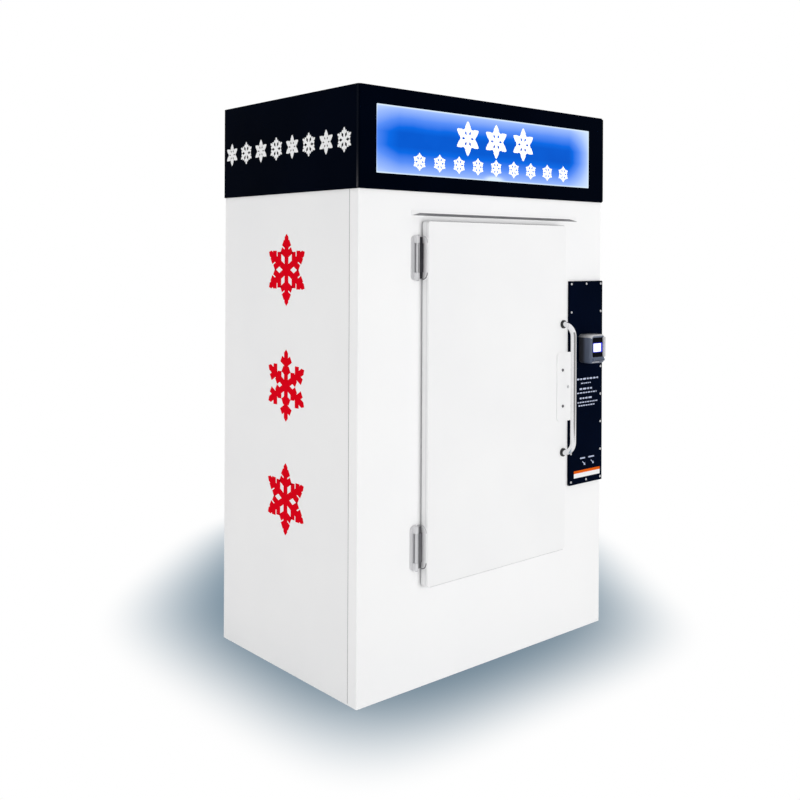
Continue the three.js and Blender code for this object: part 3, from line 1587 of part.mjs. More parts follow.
for (const [name, x] of [['left', -railSpacing], ['centre', 0], ['right', railSpacing]]) {
  place(freezer, `skid_rail_${name}`, skidRail(), galvanised, [x, 0, 0]);
}
place(freezer, 'bottom_pan', bottomPan(), galvanised);
place(freezer, 'side_panel_left', sidePanel(-1), whitePaint);
place(freezer, 'side_panel_right', sidePanel(1), whitePaint);
place(freezer, 'back_panel', backPanel(), whitePaint);
place(freezer, 'top_deck', topDeck(), galvanised);
place(freezer, 'front_frame', frontFrame(), whitePaint);
place(freezer, 'foam_insulation', foamInsulation(), foamFinish);
place(freezer, 'inner_liner', innerLiner(), linerSheetFinish);
place(freezer, 'door_throat_frame', doorThroatFrame(), greyPlastic);
place(freezer, 'floor_grate', floorGrate(), galvanised);
place(freezer, 'interior_lamp', interiorLamp(), lampLens);
place(freezer, 'drip_rail', dripRail(), whitePaint);
place(freezer, 'latch_case', latchCase(), galvanised);
place(freezer, 'latch_bolt', latchBolt(), satinSteel);

const door = group(freezer, [pivotX, pivotY, 0]);
place(door, 'door_outer_pan', doorOuterPan(), whitePaint);
place(door, 'door_foam', doorFoam(), foamFinish);
place(door, 'door_inner_liner', doorInnerLiner(), linerSheetFinish);
place(door, 'door_gasket', doorGasket(), greyRubber);
place(door, 'latch_guard_plate', latchGuardPlate(), whitePaint);
place(door, 'striker_stud', strikerStud(), satinSteel, [studX - pivotX, 0, studZ]);
place(door, 'door_handle', doorHandle(), chrome);
place(door, 'handle_flange_upper', handleFlange(), blackEnamel, [handleX - pivotX, 0, handleUpper]);
place(door, 'handle_flange_lower', handleFlange(), blackEnamel, [handleX - pivotX, 0, handleLower]);

for (const [name, z] of [['upper', upperHingeBottom], ['lower', lowerHingeBottom]]) {
  const hinge = group(freezer, [pivotX, pivotY, z]);
  place(hinge, `hinge_leaf_${name}`, hingeLeaf(), satinSteel);
  place(hinge, `hinge_strap_${name}`, hingeStrap(), chrome);
  place(hinge, `hinge_pin_${name}`, hingePin(), satinSteel);
}

place(freezer, 'control_box', controlBox(), galvanised);
place(freezer, 'control_board', controlBoard(), boardGreen);
place(freezer, 'control_cover', controlCover(), navyCover);
const reader = group(freezer, [readerX, coverFace - seat, readerZ]);
place(reader, 'reader_housing', readerHousing(), readerPlastic);
place(reader, 'reader_display', readerDisplay(), displayGlass);

place(freezer, 'canopy_front_panel', canopyFrontPanel(), blackPaint);
place(freezer, 'canopy_side_left', canopySidePanel(-1), blackPaint);
place(freezer, 'canopy_side_right', canopySidePanel(1), blackPaint);
place(freezer, 'canopy_top_cover', canopyTopCover(), blackPaint);
place(freezer, 'rear_louvre_panel', rearLouvrePanel(), blackPaint);
place(freezer, 'sign_panel', signPanel(), signAcrylic);
place(freezer, 'sign_light_box', signLightBox(), linerSheetFinish);
const lampY = (lightBoxFront + lightBoxBack) / 2;
const lampLow = lightBoxBottom + lightBoxSheet + seat;
const lampHigh = lightBoxTop - lightBoxSheet - seat;
place(freezer, 'led_strip_lower', ledStrip(), lampLens, [signCentreX, lampY, lampLow]);
place(freezer, 'led_strip_upper', ledStrip(), lampLens, [signCentreX, lampY, lampHigh], [Math.PI, 0, 0]);
place(freezer, 'power_inlet_gland', powerInletGland(), blackEnamel, [glandX, 0, glandZ]);

const evaporatorFanY = evaporatorFront + evaporatorFanSet;
const evaporatorFanZ = evaporatorTop - evaporatorHeight / 2;
place(freezer, 'evaporator_housing', evaporatorHousing(), linerSheetFinish);
const evaporatorFan = group(freezer, [0, evaporatorFanY, evaporatorFanZ]);
evaporatorFan.rotation.z = Math.PI;
const evaporatorLegReach = evaporatorFanRadius + fanTipGap + spiderThickness;
place(evaporatorFan, 'evaporator_fan_motor',
  fanMotor(evaporatorHub, evaporatorLegReach, evaporatorFanSet - ringLength - seat), blackEnamel);
place(evaporatorFan, 'evaporator_fan_blade',
  fanRotor(evaporatorFanRadius, evaporatorHubRadius, evaporatorHub, evaporatorChord), fanPlastic);
const evaporatorCoilBase = evaporatorBottom + drainRim + seat;
const evaporatorCoilTop = evaporatorTop - evaporatorSheet - seat;
const evaporatorCoilY = evaporatorBack - evaporatorCoilDepth / 2 - evaporatorCoilFromBack;
const evaporatorCoilHeight = evaporatorCoilTop - evaporatorCoilBase;
place(freezer, 'evaporator_coil',
  finnedCoil(evaporatorCoilWidth, evaporatorCoilHeight, evaporatorCoilDepth, evaporatorFinPitch),
  finAluminium, [0, evaporatorCoilY, evaporatorCoilBase]);
place(freezer, 'drain_pan', drainPan(), galvanised);

place(freezer, 'condensing_unit_tray', condensingTray(), galvanised);
place(freezer, 'compressor', compressor(), blackEnamel, [compressorX, back - compressorFromBack, trayTop]);
const coilY = trayBack - coilDepth / 2 - condenserCoilFromBack;
place(freezer, 'condenser_coil', finnedCoil(coilWidth, coilHeight, coilDepth, coilFinPitch), finAluminium,
  [coilX, coilY, trayTop + seat]);
const shroudY = coilY - coilDepth / 2 - seat - shroudDepth;
place(freezer, 'condenser_fan_shroud', fanShroud(), galvanised, [coilX, shroudY, trayTop + seat]);
const condenserFan = group(freezer, [coilX, shroudY, trayTop + seat + coilHeight / 2]);
place(condenserFan, 'condenser_fan_motor',
  fanMotor(condenserHub, fanRadius + fanTipGap + motorLegInset, -seat), blackEnamel);
place(condenserFan, 'condenser_fan_blade',
  fanRotor(fanRadius, condenserHubRadius, condenserHub, condenserChord), fanPlastic);

const linesEnd = evaporatorCoilTop + seat;
place(freezer, 'suction_line', suctionLine(linesEnd), copper);
place(freezer, 'liquid_line', liquidLine(linesEnd, coilY), copper);

export default freezer;
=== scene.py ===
import json
import random
from math import cos, pi, radians, sin, tan

import bmesh
import bpy
from mathutils import Matrix, Vector


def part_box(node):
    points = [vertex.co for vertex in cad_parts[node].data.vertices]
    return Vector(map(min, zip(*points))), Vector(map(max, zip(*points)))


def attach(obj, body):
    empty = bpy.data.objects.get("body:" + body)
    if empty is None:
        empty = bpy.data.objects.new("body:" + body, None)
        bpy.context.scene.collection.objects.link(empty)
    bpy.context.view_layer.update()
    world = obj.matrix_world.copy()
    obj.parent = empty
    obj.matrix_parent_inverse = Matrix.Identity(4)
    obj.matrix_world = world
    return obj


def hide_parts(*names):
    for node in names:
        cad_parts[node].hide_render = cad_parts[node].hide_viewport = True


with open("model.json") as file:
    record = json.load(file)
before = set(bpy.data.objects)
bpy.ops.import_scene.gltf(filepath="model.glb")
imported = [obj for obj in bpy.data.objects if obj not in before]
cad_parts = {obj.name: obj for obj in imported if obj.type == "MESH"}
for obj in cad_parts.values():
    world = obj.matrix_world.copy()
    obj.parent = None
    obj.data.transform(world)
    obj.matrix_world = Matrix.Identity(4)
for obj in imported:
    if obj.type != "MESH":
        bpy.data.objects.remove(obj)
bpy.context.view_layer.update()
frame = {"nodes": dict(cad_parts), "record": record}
scene = bpy.context.scene
print("frame loaded,", len(frame["nodes"]), "nodes")

# how a flat piece drawn in x and y stands on the cabinet
facingFront = Matrix(((1, 0, 0), (0, 0, -1), (0, 1, 0))).to_4x4()
facingLeft = Matrix(((0, 0, -1), (-1, 0, 0), (0, 1, 0))).to_4x4()
facingBack = Matrix(((-1, 0, 0), (0, 0, 1), (0, 1, 0))).to_4x4()
facingRight = Matrix.Rotation(pi, 4, "Z") @ facingLeft


def standing(facing, x, y, z):
    return Matrix.Translation((x, y, z)) @ facing


def tone(red, green, blue):
    # 0 to 255 as seen on a screen, turned into the light it stands for
    shares = (red / 255, green / 255, blue / 255)
    return tuple(s / 12.92 if s <= 0.04045 else ((s + 0.055) / 1.055) ** 2.4 for s in shares)


def evenly(start, end, count):
    return [start + (end - start) * i / (count - 1) for i in range(count)]


def newObject(name, data):
    thing = bpy.data.objects.new(name, data)
    scene.collection.objects.link(thing)
    return thing


def opaque(grey):
    return (grey, grey, grey, 1)


def feed(value, socket):
    if isinstance(value, bpy.types.NodeSocket):
        socket.id_data.links.new(value, socket)
    else:
        socket.default_value = value


def addNode(tree, kind, inputs, **settings):
    # what goes into an input is a value or another node's output
    node = tree.nodes.new(kind)
    for name, value in settings.items():
        setattr(node, name, value)
    for name, value in inputs.items():
        feed(value, node.inputs[name])
    return node


def calc(operation, *terms):
    # one sum on the node tree
    tree = next(term.id_data for term in terms if isinstance(term, bpy.types.NodeSocket))
    return addNode(tree, "ShaderNodeMath", dict(enumerate(terms)), operation=operation).outputs[0]


def spread(value, fromLow, fromHigh, low, high, smooth=False):
    ends = {"From Min": fromLow, "From Max": fromHigh, "To Min": low, "To Max": high}
    return addNode(value.id_data, "ShaderNodeMapRange", {"Value": value, **ends},
                   interpolation_type="SMOOTHSTEP" if smooth else "LINEAR").outputs["Result"]


def mixColours(share, first, second):
    inputs = {0: share, 6: (*first, 1), 7: (*second, 1)}
    return addNode(share.id_data, "ShaderNodeMix", inputs, data_type="RGBA").outputs[2]


def surfacePlace(tree, stretch=(1, 1, 1)):
    place = addNode(tree, "ShaderNodeTexCoord", {}).outputs["Object"]
    return addNode(tree, "ShaderNodeMapping", {"Vector": place, "Scale": stretch}).outputs["Vector"]


def placeXYZ(tree):
    return addNode(tree, "ShaderNodeSeparateXYZ", {0: surfacePlace(tree)}).outputs


def grain(tree, size, detail=2, stretch=(1, 1, 1)):
    # soft noise with lumps about size metres across
    inputs = {"Vector": surfacePlace(tree, stretch), "Scale": 1 / size, "Detail": detail}
    return addNode(tree, "ShaderNodeTexNoise", inputs).outputs["Fac"]


def drift(tree, size, low=0, high=1, detail=2):
    # the same noise, stretched to run from low to high
    return spread(grain(tree, size, detail), 0.3, 0.7, low, high)


def cells(tree, size, feature="F1", output="Distance", stretch=(1, 1, 1)):
    inputs = {"Vector": surfacePlace(tree, stretch), "Scale": 1 / size}
    return addNode(tree, "ShaderNodeTexVoronoi", inputs, feature=feature).outputs[output]


def addBump(shader, height, depth):
    bump = addNode(shader.id_data, "ShaderNodeBump", {"Height": height, "Distance": depth})
    feed(bump.outputs["Normal"], shader.inputs["Normal"])


# what a finish has unless it is told otherwise; sizes in metres
plainFinish = {
    "roughness": 0.4, "metal": 0, "gloss": 0.5,
    "sheetTone": 0.35, "sheetGloss": 0.05,       # how broadly a powder coat's tone and gloss drift
    "peelSize": 0.0016, "peelDepth": 0.00002,    # and its orange peel
    "line": 0.002, "lineDepth": 0.00003,         # spacing and depth of brush lines
    "filmSize": 0.03,                            # patches of the film that hands leave
    "mouldTone": 0.06, "mouldGloss": 0.01,       # the same drift on a moulding
    "grainSize": 0.001, "grainDepth": 0.0001,    # and its grain
}


def newFinish(name, colour, shade=None, **look):
    look = {**plainFinish, **look, "colour": colour, "shade": shade}
    finish = bpy.data.materials.new(name)
    finish.use_nodes = True
    shader = finish.node_tree.nodes["Principled BSDF"]
    for key, socket in (("roughness", "Roughness"), ("metal", "Metallic"), ("gloss", "Specular IOR Level")):
        feed(look[key], shader.inputs[socket])
    feed((*colour, 1), shader.inputs["Base Color"])
    return finish, finish.node_tree, shader, look


def paint(shader, share, look):
    # the finish's colour where share is 1, its shade where it is 0
    feed(mixColours(share, look["shade"], look["colour"]), shader.inputs["Base Color"])


def roughen(shader, value, look, under, over, fromLow=0.3, fromHigh=0.7):
    rough = look["roughness"]
    feed(spread(value, fromLow, fromHigh, rough - under, rough + over), shader.inputs["Roughness"])


def bareMaterial(name):
    material = bpy.data.materials.new(name)
    material.use_nodes = True
    tree = material.node_tree
    tree.nodes.remove(tree.nodes["Principled BSDF"])
    return material, tree, tree.nodes["Material Output"].inputs["Surface"]


cameraView = {
    "place": (-2.6558, -2.9630, 1.4713),
    "heading": 40.863,   # degrees from +Y towards +X
    "roll": 0.261,
    "lens": 45.39, "filmWidth": 36,
    "shiftY": -0.1798,
}

camera = newObject("camera", bpy.data.cameras.new("camera"))
camera.data.lens = cameraView["lens"]
camera.data.sensor_width = cameraView["filmWidth"]
camera.data.shift_y = cameraView["shiftY"]
camera.matrix_world = (
    Matrix.Translation(cameraView["place"])
    @ Matrix.Rotation(-radians(cameraView["heading"]), 4, "Z")
    @ Matrix.Rotation(radians(90), 4, "X")
    @ Matrix.Rotation(radians(cameraView["roll"]), 4, "Z")
)
scene.camera = camera
scene.view_settings.view_transform = "Standard"


studio = {
    "worldLevel": 0.55,
    "floorSize": 14,
    "floorGrey": 0.85,             # what the floor throws back onto the object
    "keyPlace": (0.6, -6.0, 1.1), "keyAim": (0.0, -0.4, 0.9), "keySize": 3.4, "keyPower": 161,
    "fillPlace": (-5.0, 0.1, 0.7), "fillAim": (-0.6, 0.1, 0.7), "fillSize": 2.6, "fillPower": 70,
    "flagPlace": (0.70, -3.9, 1.2), "flagWidth": 6.4, "flagHeight": 3.6, "flagGrey": 0.30,
}

# the pool of shade round the cabinet; distances in metres, shades as seen on a screen
floorShade = {
    "deepest": (0.47, 0.55, 0.61),
    "leftInset": 0.075,                     # the pool is drawn in from the left side
    "backReach": 1.19, "rightReach": 0.78,  # and drawn out behind and to the right
    "leftSlant": (47, 0.866), "rightSlant": (37, 0.678),    # degrees and reach of its cut corners
    "rounding": 0.63, "fadeOut": 0.517, "fadeIn": 0.083,
    "contactReach": 0.5, "contactFrom": 0.5, "contactShade": 0.96,
    "screenGamma": 2.2,
}


def seenDirectly(tree):
    # 1 for what the camera, metal or glass looks at, 0 for light that falls on the object
    ray = addNode(tree, "ShaderNodeLightPath", {}).outputs
    seen = calc("MAXIMUM", ray["Is Camera Ray"], ray["Is Glossy Ray"])
    return calc("MAXIMUM", seen, ray["Is Transmission Ray"])


def shadePool(tree):
    # how far each spot lies inside the pool's six sides, run together softly
    look = floorShade
    low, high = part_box("front_frame")
    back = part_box("back_panel")[1].y
    x, y, _ = placeXYZ(tree)

    def slanted(side, degrees, reach):
        turn = radians(degrees)
        across = calc("MULTIPLY", x, side * cos(turn))
        along = calc("MULTIPLY", y, -side * sin(turn))
        return calc("ADD", calc("ADD", across, along), reach)

    sides = [
        calc("SUBTRACT", y, low.y),
        calc("SUBTRACT", x, low.x + look["leftInset"]),
        calc("SUBTRACT", back + look["backReach"], y),
        calc("SUBTRACT", high.x + look["rightReach"], x),
        slanted(1, *look["leftSlant"]),
        slanted(-1, *look["rightSlant"]),
    ]
    while len(sides) > 1:
        sides.append(calc("SMOOTH_MIN", sides.pop(0), sides.pop(0), look["rounding"]))
    return spread(sides[0], -look["fadeOut"], look["fadeIn"], 0, 1, True)


def makeFloor():
    paper, tree, surface = bareMaterial("paper")
    matt = addNode(tree, "ShaderNodeBsdfDiffuse", {"Color": opaque(studio["floorGrey"])})
    pool = mixColours(shadePool(tree), (1, 1, 1), floorShade["deepest"])
    reach = {"Distance": floorShade["contactReach"]}
    nearness = addNode(tree, "ShaderNodeAmbientOcclusion", reach, samples=16)
    contact = spread(nearness.outputs["AO"], floorShade["contactFrom"], 1, floorShade["contactShade"], 1)
    shaded = addNode(tree, "ShaderNodeVectorMath", {0: pool, "Scale": contact}, operation="SCALE")
    asLight = addNode(tree, "ShaderNodeGamma",
                      {"Color": shaded.outputs[0], "Gamma": floorShade["screenGamma"]})
    glow = addNode(tree, "ShaderNodeEmission", {"Color": asLight.outputs[0]})
    either = addNode(tree, "ShaderNodeMixShader",
                     {0: seenDirectly(tree), 1: matt.outputs[0], 2: glow.outputs[0]})
    feed(either.outputs[0], surface)
    stageSheet("floor", studio["floorSize"], studio["floorSize"], paper)


def stageSheet(name, width, depth, material):
    mesh = bpy.data.meshes.new(name)
    corners = [(x * width / 2, y * depth / 2, 0) for x, y in ((-1, -1), (1, -1), (1, 1), (-1, 1))]
    mesh.from_pydata(corners, [], [(0, 1, 2, 3)])
    mesh.materials.append(material)
    sheet = newObject(name, mesh)
    return sheet


def makeFlag():
    # a grey card beside the camera that only metal picks up, so that the chrome gets its dark band
    grey, tree, surface = bareMaterial("greyCard")
    glow = addNode(tree, "ShaderNodeEmission", {"Color": opaque(studio["flagGrey"])})
    feed(glow.outputs[0], surface)
    flag = stageSheet("greyCard", studio["flagWidth"], studio["flagHeight"], grey)
    flag.matrix_world = standing(facingFront, *studio["flagPlace"])
    for ray in ("camera", "diffuse", "transmission", "shadow"):
        setattr(flag, "visible_" + ray, False)


def makeLamp(name, place, aim, size, power):
    lamp = newObject(name, bpy.data.lights.new(name, "AREA"))
    lamp.data.size = size
    lamp.data.energy = power
    lamp.location = place
    lamp.rotation_euler = (Vector(aim) - Vector(place)).to_track_quat("-Z", "Y").to_euler()
    lamp.visible_camera = False
    lamp.visible_glossy = False    # metal shows the white room, not the lamps


def makeStudio():
    scene.world = bpy.data.worlds.new("studio")
    scene.world.use_nodes = True
    tree = scene.world.node_tree
    background = tree.nodes["Background"].inputs
    feed(opaque(1), background["Color"])
    feed(spread(seenDirectly(tree), 0, 1, studio["worldLevel"], 1), background["Strength"])
    makeFloor()
    makeFlag()
    for name in ("key", "fill"):
        makeLamp(name + "Lamp", *(studio[name + what] for what in ("Place", "Aim", "Size", "Power")))


makeStudio()
print("studio ready")


def paintedSheet(name, *tones, **look):
    # powder coat: faint orange peel, and a gloss and tone that drift over the sheet
    finish, tree, shader, look = newFinish(name, *tones, **look)
    paint(shader, drift(tree, look["sheetTone"]), look)
    roughen(shader, grain(tree, look["sheetGloss"], 3), look, under=0.05, over=0.06)
    addBump(shader, grain(tree, look["peelSize"], 1), look["peelDepth"])
    return finish


def zincSheet(name, *tones, **look):
    # hot-dip zinc: flat spangles, each a slightly different grey
    finish, tree, shader, look = newFinish(name, *tones, **look)
    flake = cells(tree, look["spangle"], output="Color")
    paint(shader, spread(flake, 0, 1, 0, 1), look)
    roughen(shader, flake, look, under=0.13, over=0.10, fromLow=0, fromHigh=1)
    addBump(shader, grain(tree, look["rippleSize"]), look["rippleDepth"])
    return finish


def brushedMetal(name, *tones, **look):
    # fine lines from the brush, along z
    finish, tree, shader, look = newFinish(name, *tones, **look)
    lines = grain(tree, look["line"], 3, stretch=(1, 1, 0.04))
    paint(shader, lines, look)
    roughen(shader, lines, look, under=0.08, over=0.12)
    addBump(shader, lines, look["lineDepth"])
    return finish


def polishedMetal(name, *tones, **look):
    # plating, with the dull film that hands leave
    finish, tree, shader, look = newFinish(name, *tones, **look)
    film = grain(tree, look["filmSize"], 4)
    paint(shader, film, look)
    roughen(shader, film, look, under=0, over=0.08, fromLow=0.35, fromHigh=0.75)
    return finish


def moulded(name, *tones, **look):
    # plastic or rubber with a fine spark-eroded grain
    finish, tree, shader, look = newFinish(name, *tones, **look)
    paint(shader, drift(tree, look["mouldTone"]), look)
    roughen(shader, grain(tree, look["mouldGloss"], 3), look, under=0.06, over=0.08)
    addBump(shader, cells(tree, look["grainSize"]), look["grainDepth"])
    return finish


def pouredFoam(name, *tones, **look):
    # open cells where the foam was cut or lifted off
    finish, tree, shader, look = newFinish(name, *tones, **look)
    paint(shader, spread(cells(tree, look["mottle"]), 0, 0.9, 0, 1), look)
    addBump(shader, cells(tree, look["cell"]), look["cellDepth"])
    return finish


def circuitBoard(name, *tones, **look):
    # lacquer over copper tracks, which take the shade
    finish, tree, shader, look = newFinish(name, *tones, **look)
    edges = cells(tree, look["track"], feature="DISTANCE_TO_EDGE", stretch=(1, 1, 0.35))
    track = spread(edges, 0.02, 0.08, 1, 0)
    feed(mixColours(track, look["colour"], look["shade"]), shader.inputs["Base Color"])
    addBump(shader, track, look["trackDepth"])
    return finish


def litSheet(name, *tones, **look):
    # a lens or screen that glows by itself; the grain keeps it from looking like paper
    finish, tree, shader, look = newFinish(name, *tones, **look)
    colour = mixColours(drift(tree, look["grainSize"]), look["shade"], look["colour"])
    feed(colour, shader.inputs["Base Color"])
    feed(colour, shader.inputs["Emission Color"])
    feed(look["glow"], shader.inputs["Emission Strength"])
    return finish


signLook = {
    "levels": (                # from the unlit middle to the glow at the lamps
        (0.0, tone(1, 88, 207)),
        (0.2, tone(5, 106, 231)),
        (0.45, tone(88, 143, 249)),
        (0.72, tone(155, 188, 255)),
        (1.0, tone(222, 240, 255)),
    ),
    "colour": (0.002, 0.002, 0.002),                 # the acrylic itself, unlit
    "roughness": 0.25, "gloss": 0.01,
    "lap": 0.012,              # the sheet runs this far behind the canopy's opening
    "left": (0.36, 0.10), "right": (0.86, 0.12),     # glow at this edge, and how far it reaches
    "bottom": (0.76, 0.094), "top": (0.80, 0.088),
    "rimWidth": 0.007, "rimGlow": 0.28,
    "hotSpotX": 0.0,           # where the lower lamps show through most
    "hotSpotWidth": 0.15, "hotSpotHeight": 0.03, "hotSpotGlow": 0.5,
    "haze": 0.06, "hazeSize": 0.12,
    "glow": 1.0,
}


def signSheet():
    # blue acrylic lit from its edges: deep blue in the middle, pale towards the lamps
    finish, tree, shader, look = newFinish("signAcrylic", **signLook)
    low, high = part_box("sign_panel")
    lap = look["lap"]
    x, _, z = placeXYZ(tree)
    inward = {
        "left": calc("SUBTRACT", x, low.x + lap),
        "right": calc("SUBTRACT", high.x - lap, x),
        "bottom": calc("SUBTRACT", z, low.z + lap),
        "top": calc("SUBTRACT", high.z - lap, z),
    }
    unlit = drift(tree, look["hazeSize"], 1 - look["haze"])
    for edge, distance in inward.items():
        level, reach = look[edge]
        unlit = calc("MULTIPLY", unlit, spread(distance, 0, reach, 1 - level, 1))
    pairs = (calc("MINIMUM", inward[a], inward[b]) for a, b in (("left", "right"), ("bottom", "top")))
    border = calc("MINIMUM", *pairs)
    rim = spread(border, 0, look["rimWidth"], look["rimGlow"], 0, True)
    fromSpotX = calc("DIVIDE", calc("SUBTRACT", x, look["hotSpotX"]), look["hotSpotWidth"] / 2)
    fromSpotZ = calc("DIVIDE", inward["bottom"], look["hotSpotHeight"])
    away = calc("SQRT", calc("ADD", calc("POWER", fromSpotX, 2), calc("POWER", fromSpotZ, 2)))
    spot = spread(away, 0, 1, look["hotSpotGlow"], 0, True)
    lit = calc("ADD", calc("SUBTRACT", 1, unlit), calc("MAXIMUM", rim, spot))
    ramp = addNode(tree, "ShaderNodeValToRGB", {"Fac": lit})
    stops = ramp.color_ramp.elements
    while len(stops) < len(look["levels"]):
        stops.new(0.5)
    for stop, (level, colour) in zip(stops, look["levels"]):
        stop.position = level
        stop.color = (*colour, 1)
    feed(ramp.outputs["Color"], shader.inputs["Emission Color"])
    feed(look["glow"], shader.inputs["Emission Strength"])
    return finish


readerShellLook = {
    "shade": tone(52, 53, 60),               # the half against the cover
    "colour": tone(92, 101, 121),            # the half in front
    "seamFrom": 0.018, "seamTo": 0.038,      # from the cover, where one turns into the other
    "cloud": 0.06, "cloudSize": 0.02,
    "roughness": 0.35, "gloss": 0.4,
    "grainSize": 0.0008, "grainDepth": 0.00001,
}


def readerShell():
    # darker near the cover, blue-grey further out
    finish, tree, shader, look = newFinish("readerPlastic", **readerShellLook)
    out = calc("SUBTRACT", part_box("reader_housing")[1].y, placeXYZ(tree)[1])
    share = spread(out, look["seamFrom"], look["seamTo"], 0, 1, True)
    cloud = drift(tree, look["cloudSize"], -look["cloud"], look["cloud"], 3)
    paint(shader, calc("ADD", share, cloud), look)
    addBump(shader, cells(tree, look["grainSize"]), look["grainDepth"])
    return finish


finishes = {
    "white_paint": paintedSheet(
        "whitePowderCoat", (0.93, 0.93, 0.93), (0.905, 0.905, 0.91), roughness=0.38, gloss=0.35),
    "black_paint": paintedSheet("canopyPaint", tone(1, 5, 17), tone(0, 3, 12), roughness=0.42, gloss=0.004),
    "navy_cover": paintedSheet("coverPaint", tone(2, 9, 29), tone(0, 6, 23), gloss=0.006, peelSize=0.0012),
    "liner_sheet": paintedSheet(
        "linerSheet", (0.84, 0.85, 0.855), (0.80, 0.81, 0.82), peelSize=0.004, peelDepth=0.00008),
    "black_enamel": paintedSheet(
        "blackEnamel", tone(24, 25, 28), tone(16, 17, 20), peelSize=0.002, peelDepth=0.00004),
    "galvanised_sheet": zincSheet(
        "galvanisedSheet", (0.62, 0.64, 0.66), (0.44, 0.46, 0.48), roughness=0.45, metal=0.85,
        spangle=0.012, rippleSize=0.004, rippleDepth=0.00005),
    "satin_steel": brushedMetal(
        "satinSteel", (0.72, 0.72, 0.73), (0.56, 0.56, 0.58), roughness=0.32, metal=1, line=0.0015),
    "fin_aluminium": brushedMetal("finAluminium", (0.78, 0.79, 0.80), (0.62, 0.63, 0.64), metal=1),
    "copper": polishedMetal("copperTube", (0.72, 0.36, 0.20), (0.42, 0.22, 0.14), roughness=0.25, metal=1),
    "chrome": polishedMetal("chromePlate", (0.86, 0.86, 0.87), (0.74, 0.74, 0.76), roughness=0.06, metal=1),
    "grey_rubber": moulded("doorRubber", tone(96, 99, 104), tone(78, 80, 86), roughness=0.75),
    "grey_plastic": moulded(
        "throatPlastic", tone(206, 209, 213), tone(194, 197, 202), roughness=0.5, grainSize=0.0012,
        grainDepth=0.00006),
    "reader_plastic": readerShell(),
    "fan_plastic": moulded(
        "fanPlastic", tone(40, 42, 46), tone(30, 32, 36), roughness=0.5, grainDepth=0.00006),
    "display_glass": polishedMetal(
        "displayGlass", tone(6, 8, 16), tone(3, 4, 10), roughness=0.08, gloss=0.02),
    "lamp_lens": litSheet(
        "lampLens", (0.95, 0.97, 1.0), (0.88, 0.91, 0.96), roughness=0.3, grainSize=0.03, glow=1.2),
    "foam": pouredFoam(
        "pouredFoam", tone(232, 216, 170), tone(206, 186, 134), roughness=0.9, mottle=0.006, cell=0.003,
        cellDepth=0.0006),
    "board_green": circuitBoard(
        "circuitBoard", tone(26, 92, 58), tone(60, 132, 80), roughness=0.45, track=0.006,
        trackDepth=0.0001),
    "sign_acrylic": signSheet(),
}

def giveFinish(finish, *nodes):
    for node in nodes:
        frame["nodes"][node].material_slots[0].material = finish


for part in frame["record"]["subparts"]:
    frame["nodes"][part["node"]].data.materials.clear()
    frame["nodes"][part["node"]].data.materials.append(finishes[part["material_slot"]])
# painted light: the door's white, a shade lighter, to lift the frame's brightness
giveFinish(paintedSheet(
    "frontFrameLiftedWhite", (0.965, 0.965, 0.965), (0.945, 0.945, 0.95), roughness=0.38, gloss=0.35),
    "front_frame")
# glossier than the rest of the canopy, so that the louvres show
giveFinish(paintedSheet("canopySheen", tone(8, 12, 24), tone(5, 8, 18), roughness=0.36, gloss=0.12),
    "rear_louvre_panel", "canopy_top_cover", "canopy_side_right")
print("finishes on the frame")


def addPiece(name, mesh, slot, finish=None, place=None, body="cabinet"):
    mesh.materials.clear()
    mesh.materials.append(finish or finishes[slot])
    if not mesh.users:
        mesh.name = name
    piece = newObject(name, mesh)
    if place is not None:
        piece.matrix_world = place
    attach(piece, body)
    return piece


def toMesh(form, smoothAngle=None):
    mesh = bpy.data.meshes.new("piece")
    bmesh.ops.recalc_face_normals(form, faces=form.faces)
    form.to_mesh(mesh)
    form.free()
    if smoothAngle is not None:
        mesh.shade_smooth()
        mesh.set_sharp_from_angle(angle=radians(smoothAngle))
    return mesh


def raiseFace(form, corners, rise):
    # a flat face, given thickness along z
    face = form.faces.new([form.verts.new(corner) for corner in corners])
    grown = bmesh.ops.extrude_face_region(form, geom=[face])
    lifted = [v for v in grown["geom"] if isinstance(v, bmesh.types.BMVert)]
    bmesh.ops.translate(form, verts=lifted, vec=(0, 0, rise))


def plateMesh(outline, thickness, edge=0):
    # a flat outline given thickness, its front edge rounded if edge isn't 0
    form = bmesh.new()
    raiseFace(form, [(x, y, 0) for x, y in outline], thickness)
    if edge:
        rim = [e for e in form.edges if all(v.co.z > thickness / 2 for v in e.verts)]
        bmesh.ops.bevel(form, geom=rim, offset=edge, segments=2, profile=0.5, affect="EDGES")
    bmesh.ops.triangulate(form, faces=[f for f in form.faces if len(f.verts) > 4])
    return toMesh(form, 40)


def roundedOutline(width, height, corner, x=0, y=0, steps=5):
    points = []
    for cx, cy, start in ((1, -1, -90), (1, 1, 0), (-1, 1, 90), (-1, -1, 180)):
        for i in range(steps + 1):
            angle = radians(start + 90 * i / steps)
            points.append((x + cx * (width / 2 - corner) + corner * cos(angle),
                           y + cy * (height / 2 - corner) + corner * sin(angle)))
    return points


def frontPlate(name, span, corner, y, thick, slot, finish, steps=5, edge=0, body="cabinet"):
    # a plate with rounded corners that faces the front; span is its left, right, bottom and top
    left, right, bottom, top = span
    outline = roundedOutline(right - left, top - bottom, corner, steps=steps)
    addPiece(name, plateMesh(outline, thick, edge), slot, finish,
             standing(facingFront, (left + right) / 2, y, (bottom + top) / 2), body)


def circle(form, radius, height, sides):
    turns = [2 * pi * i / sides for i in range(sides)]
    return [form.verts.new((radius * cos(a), radius * sin(a), height)) for a in turns]


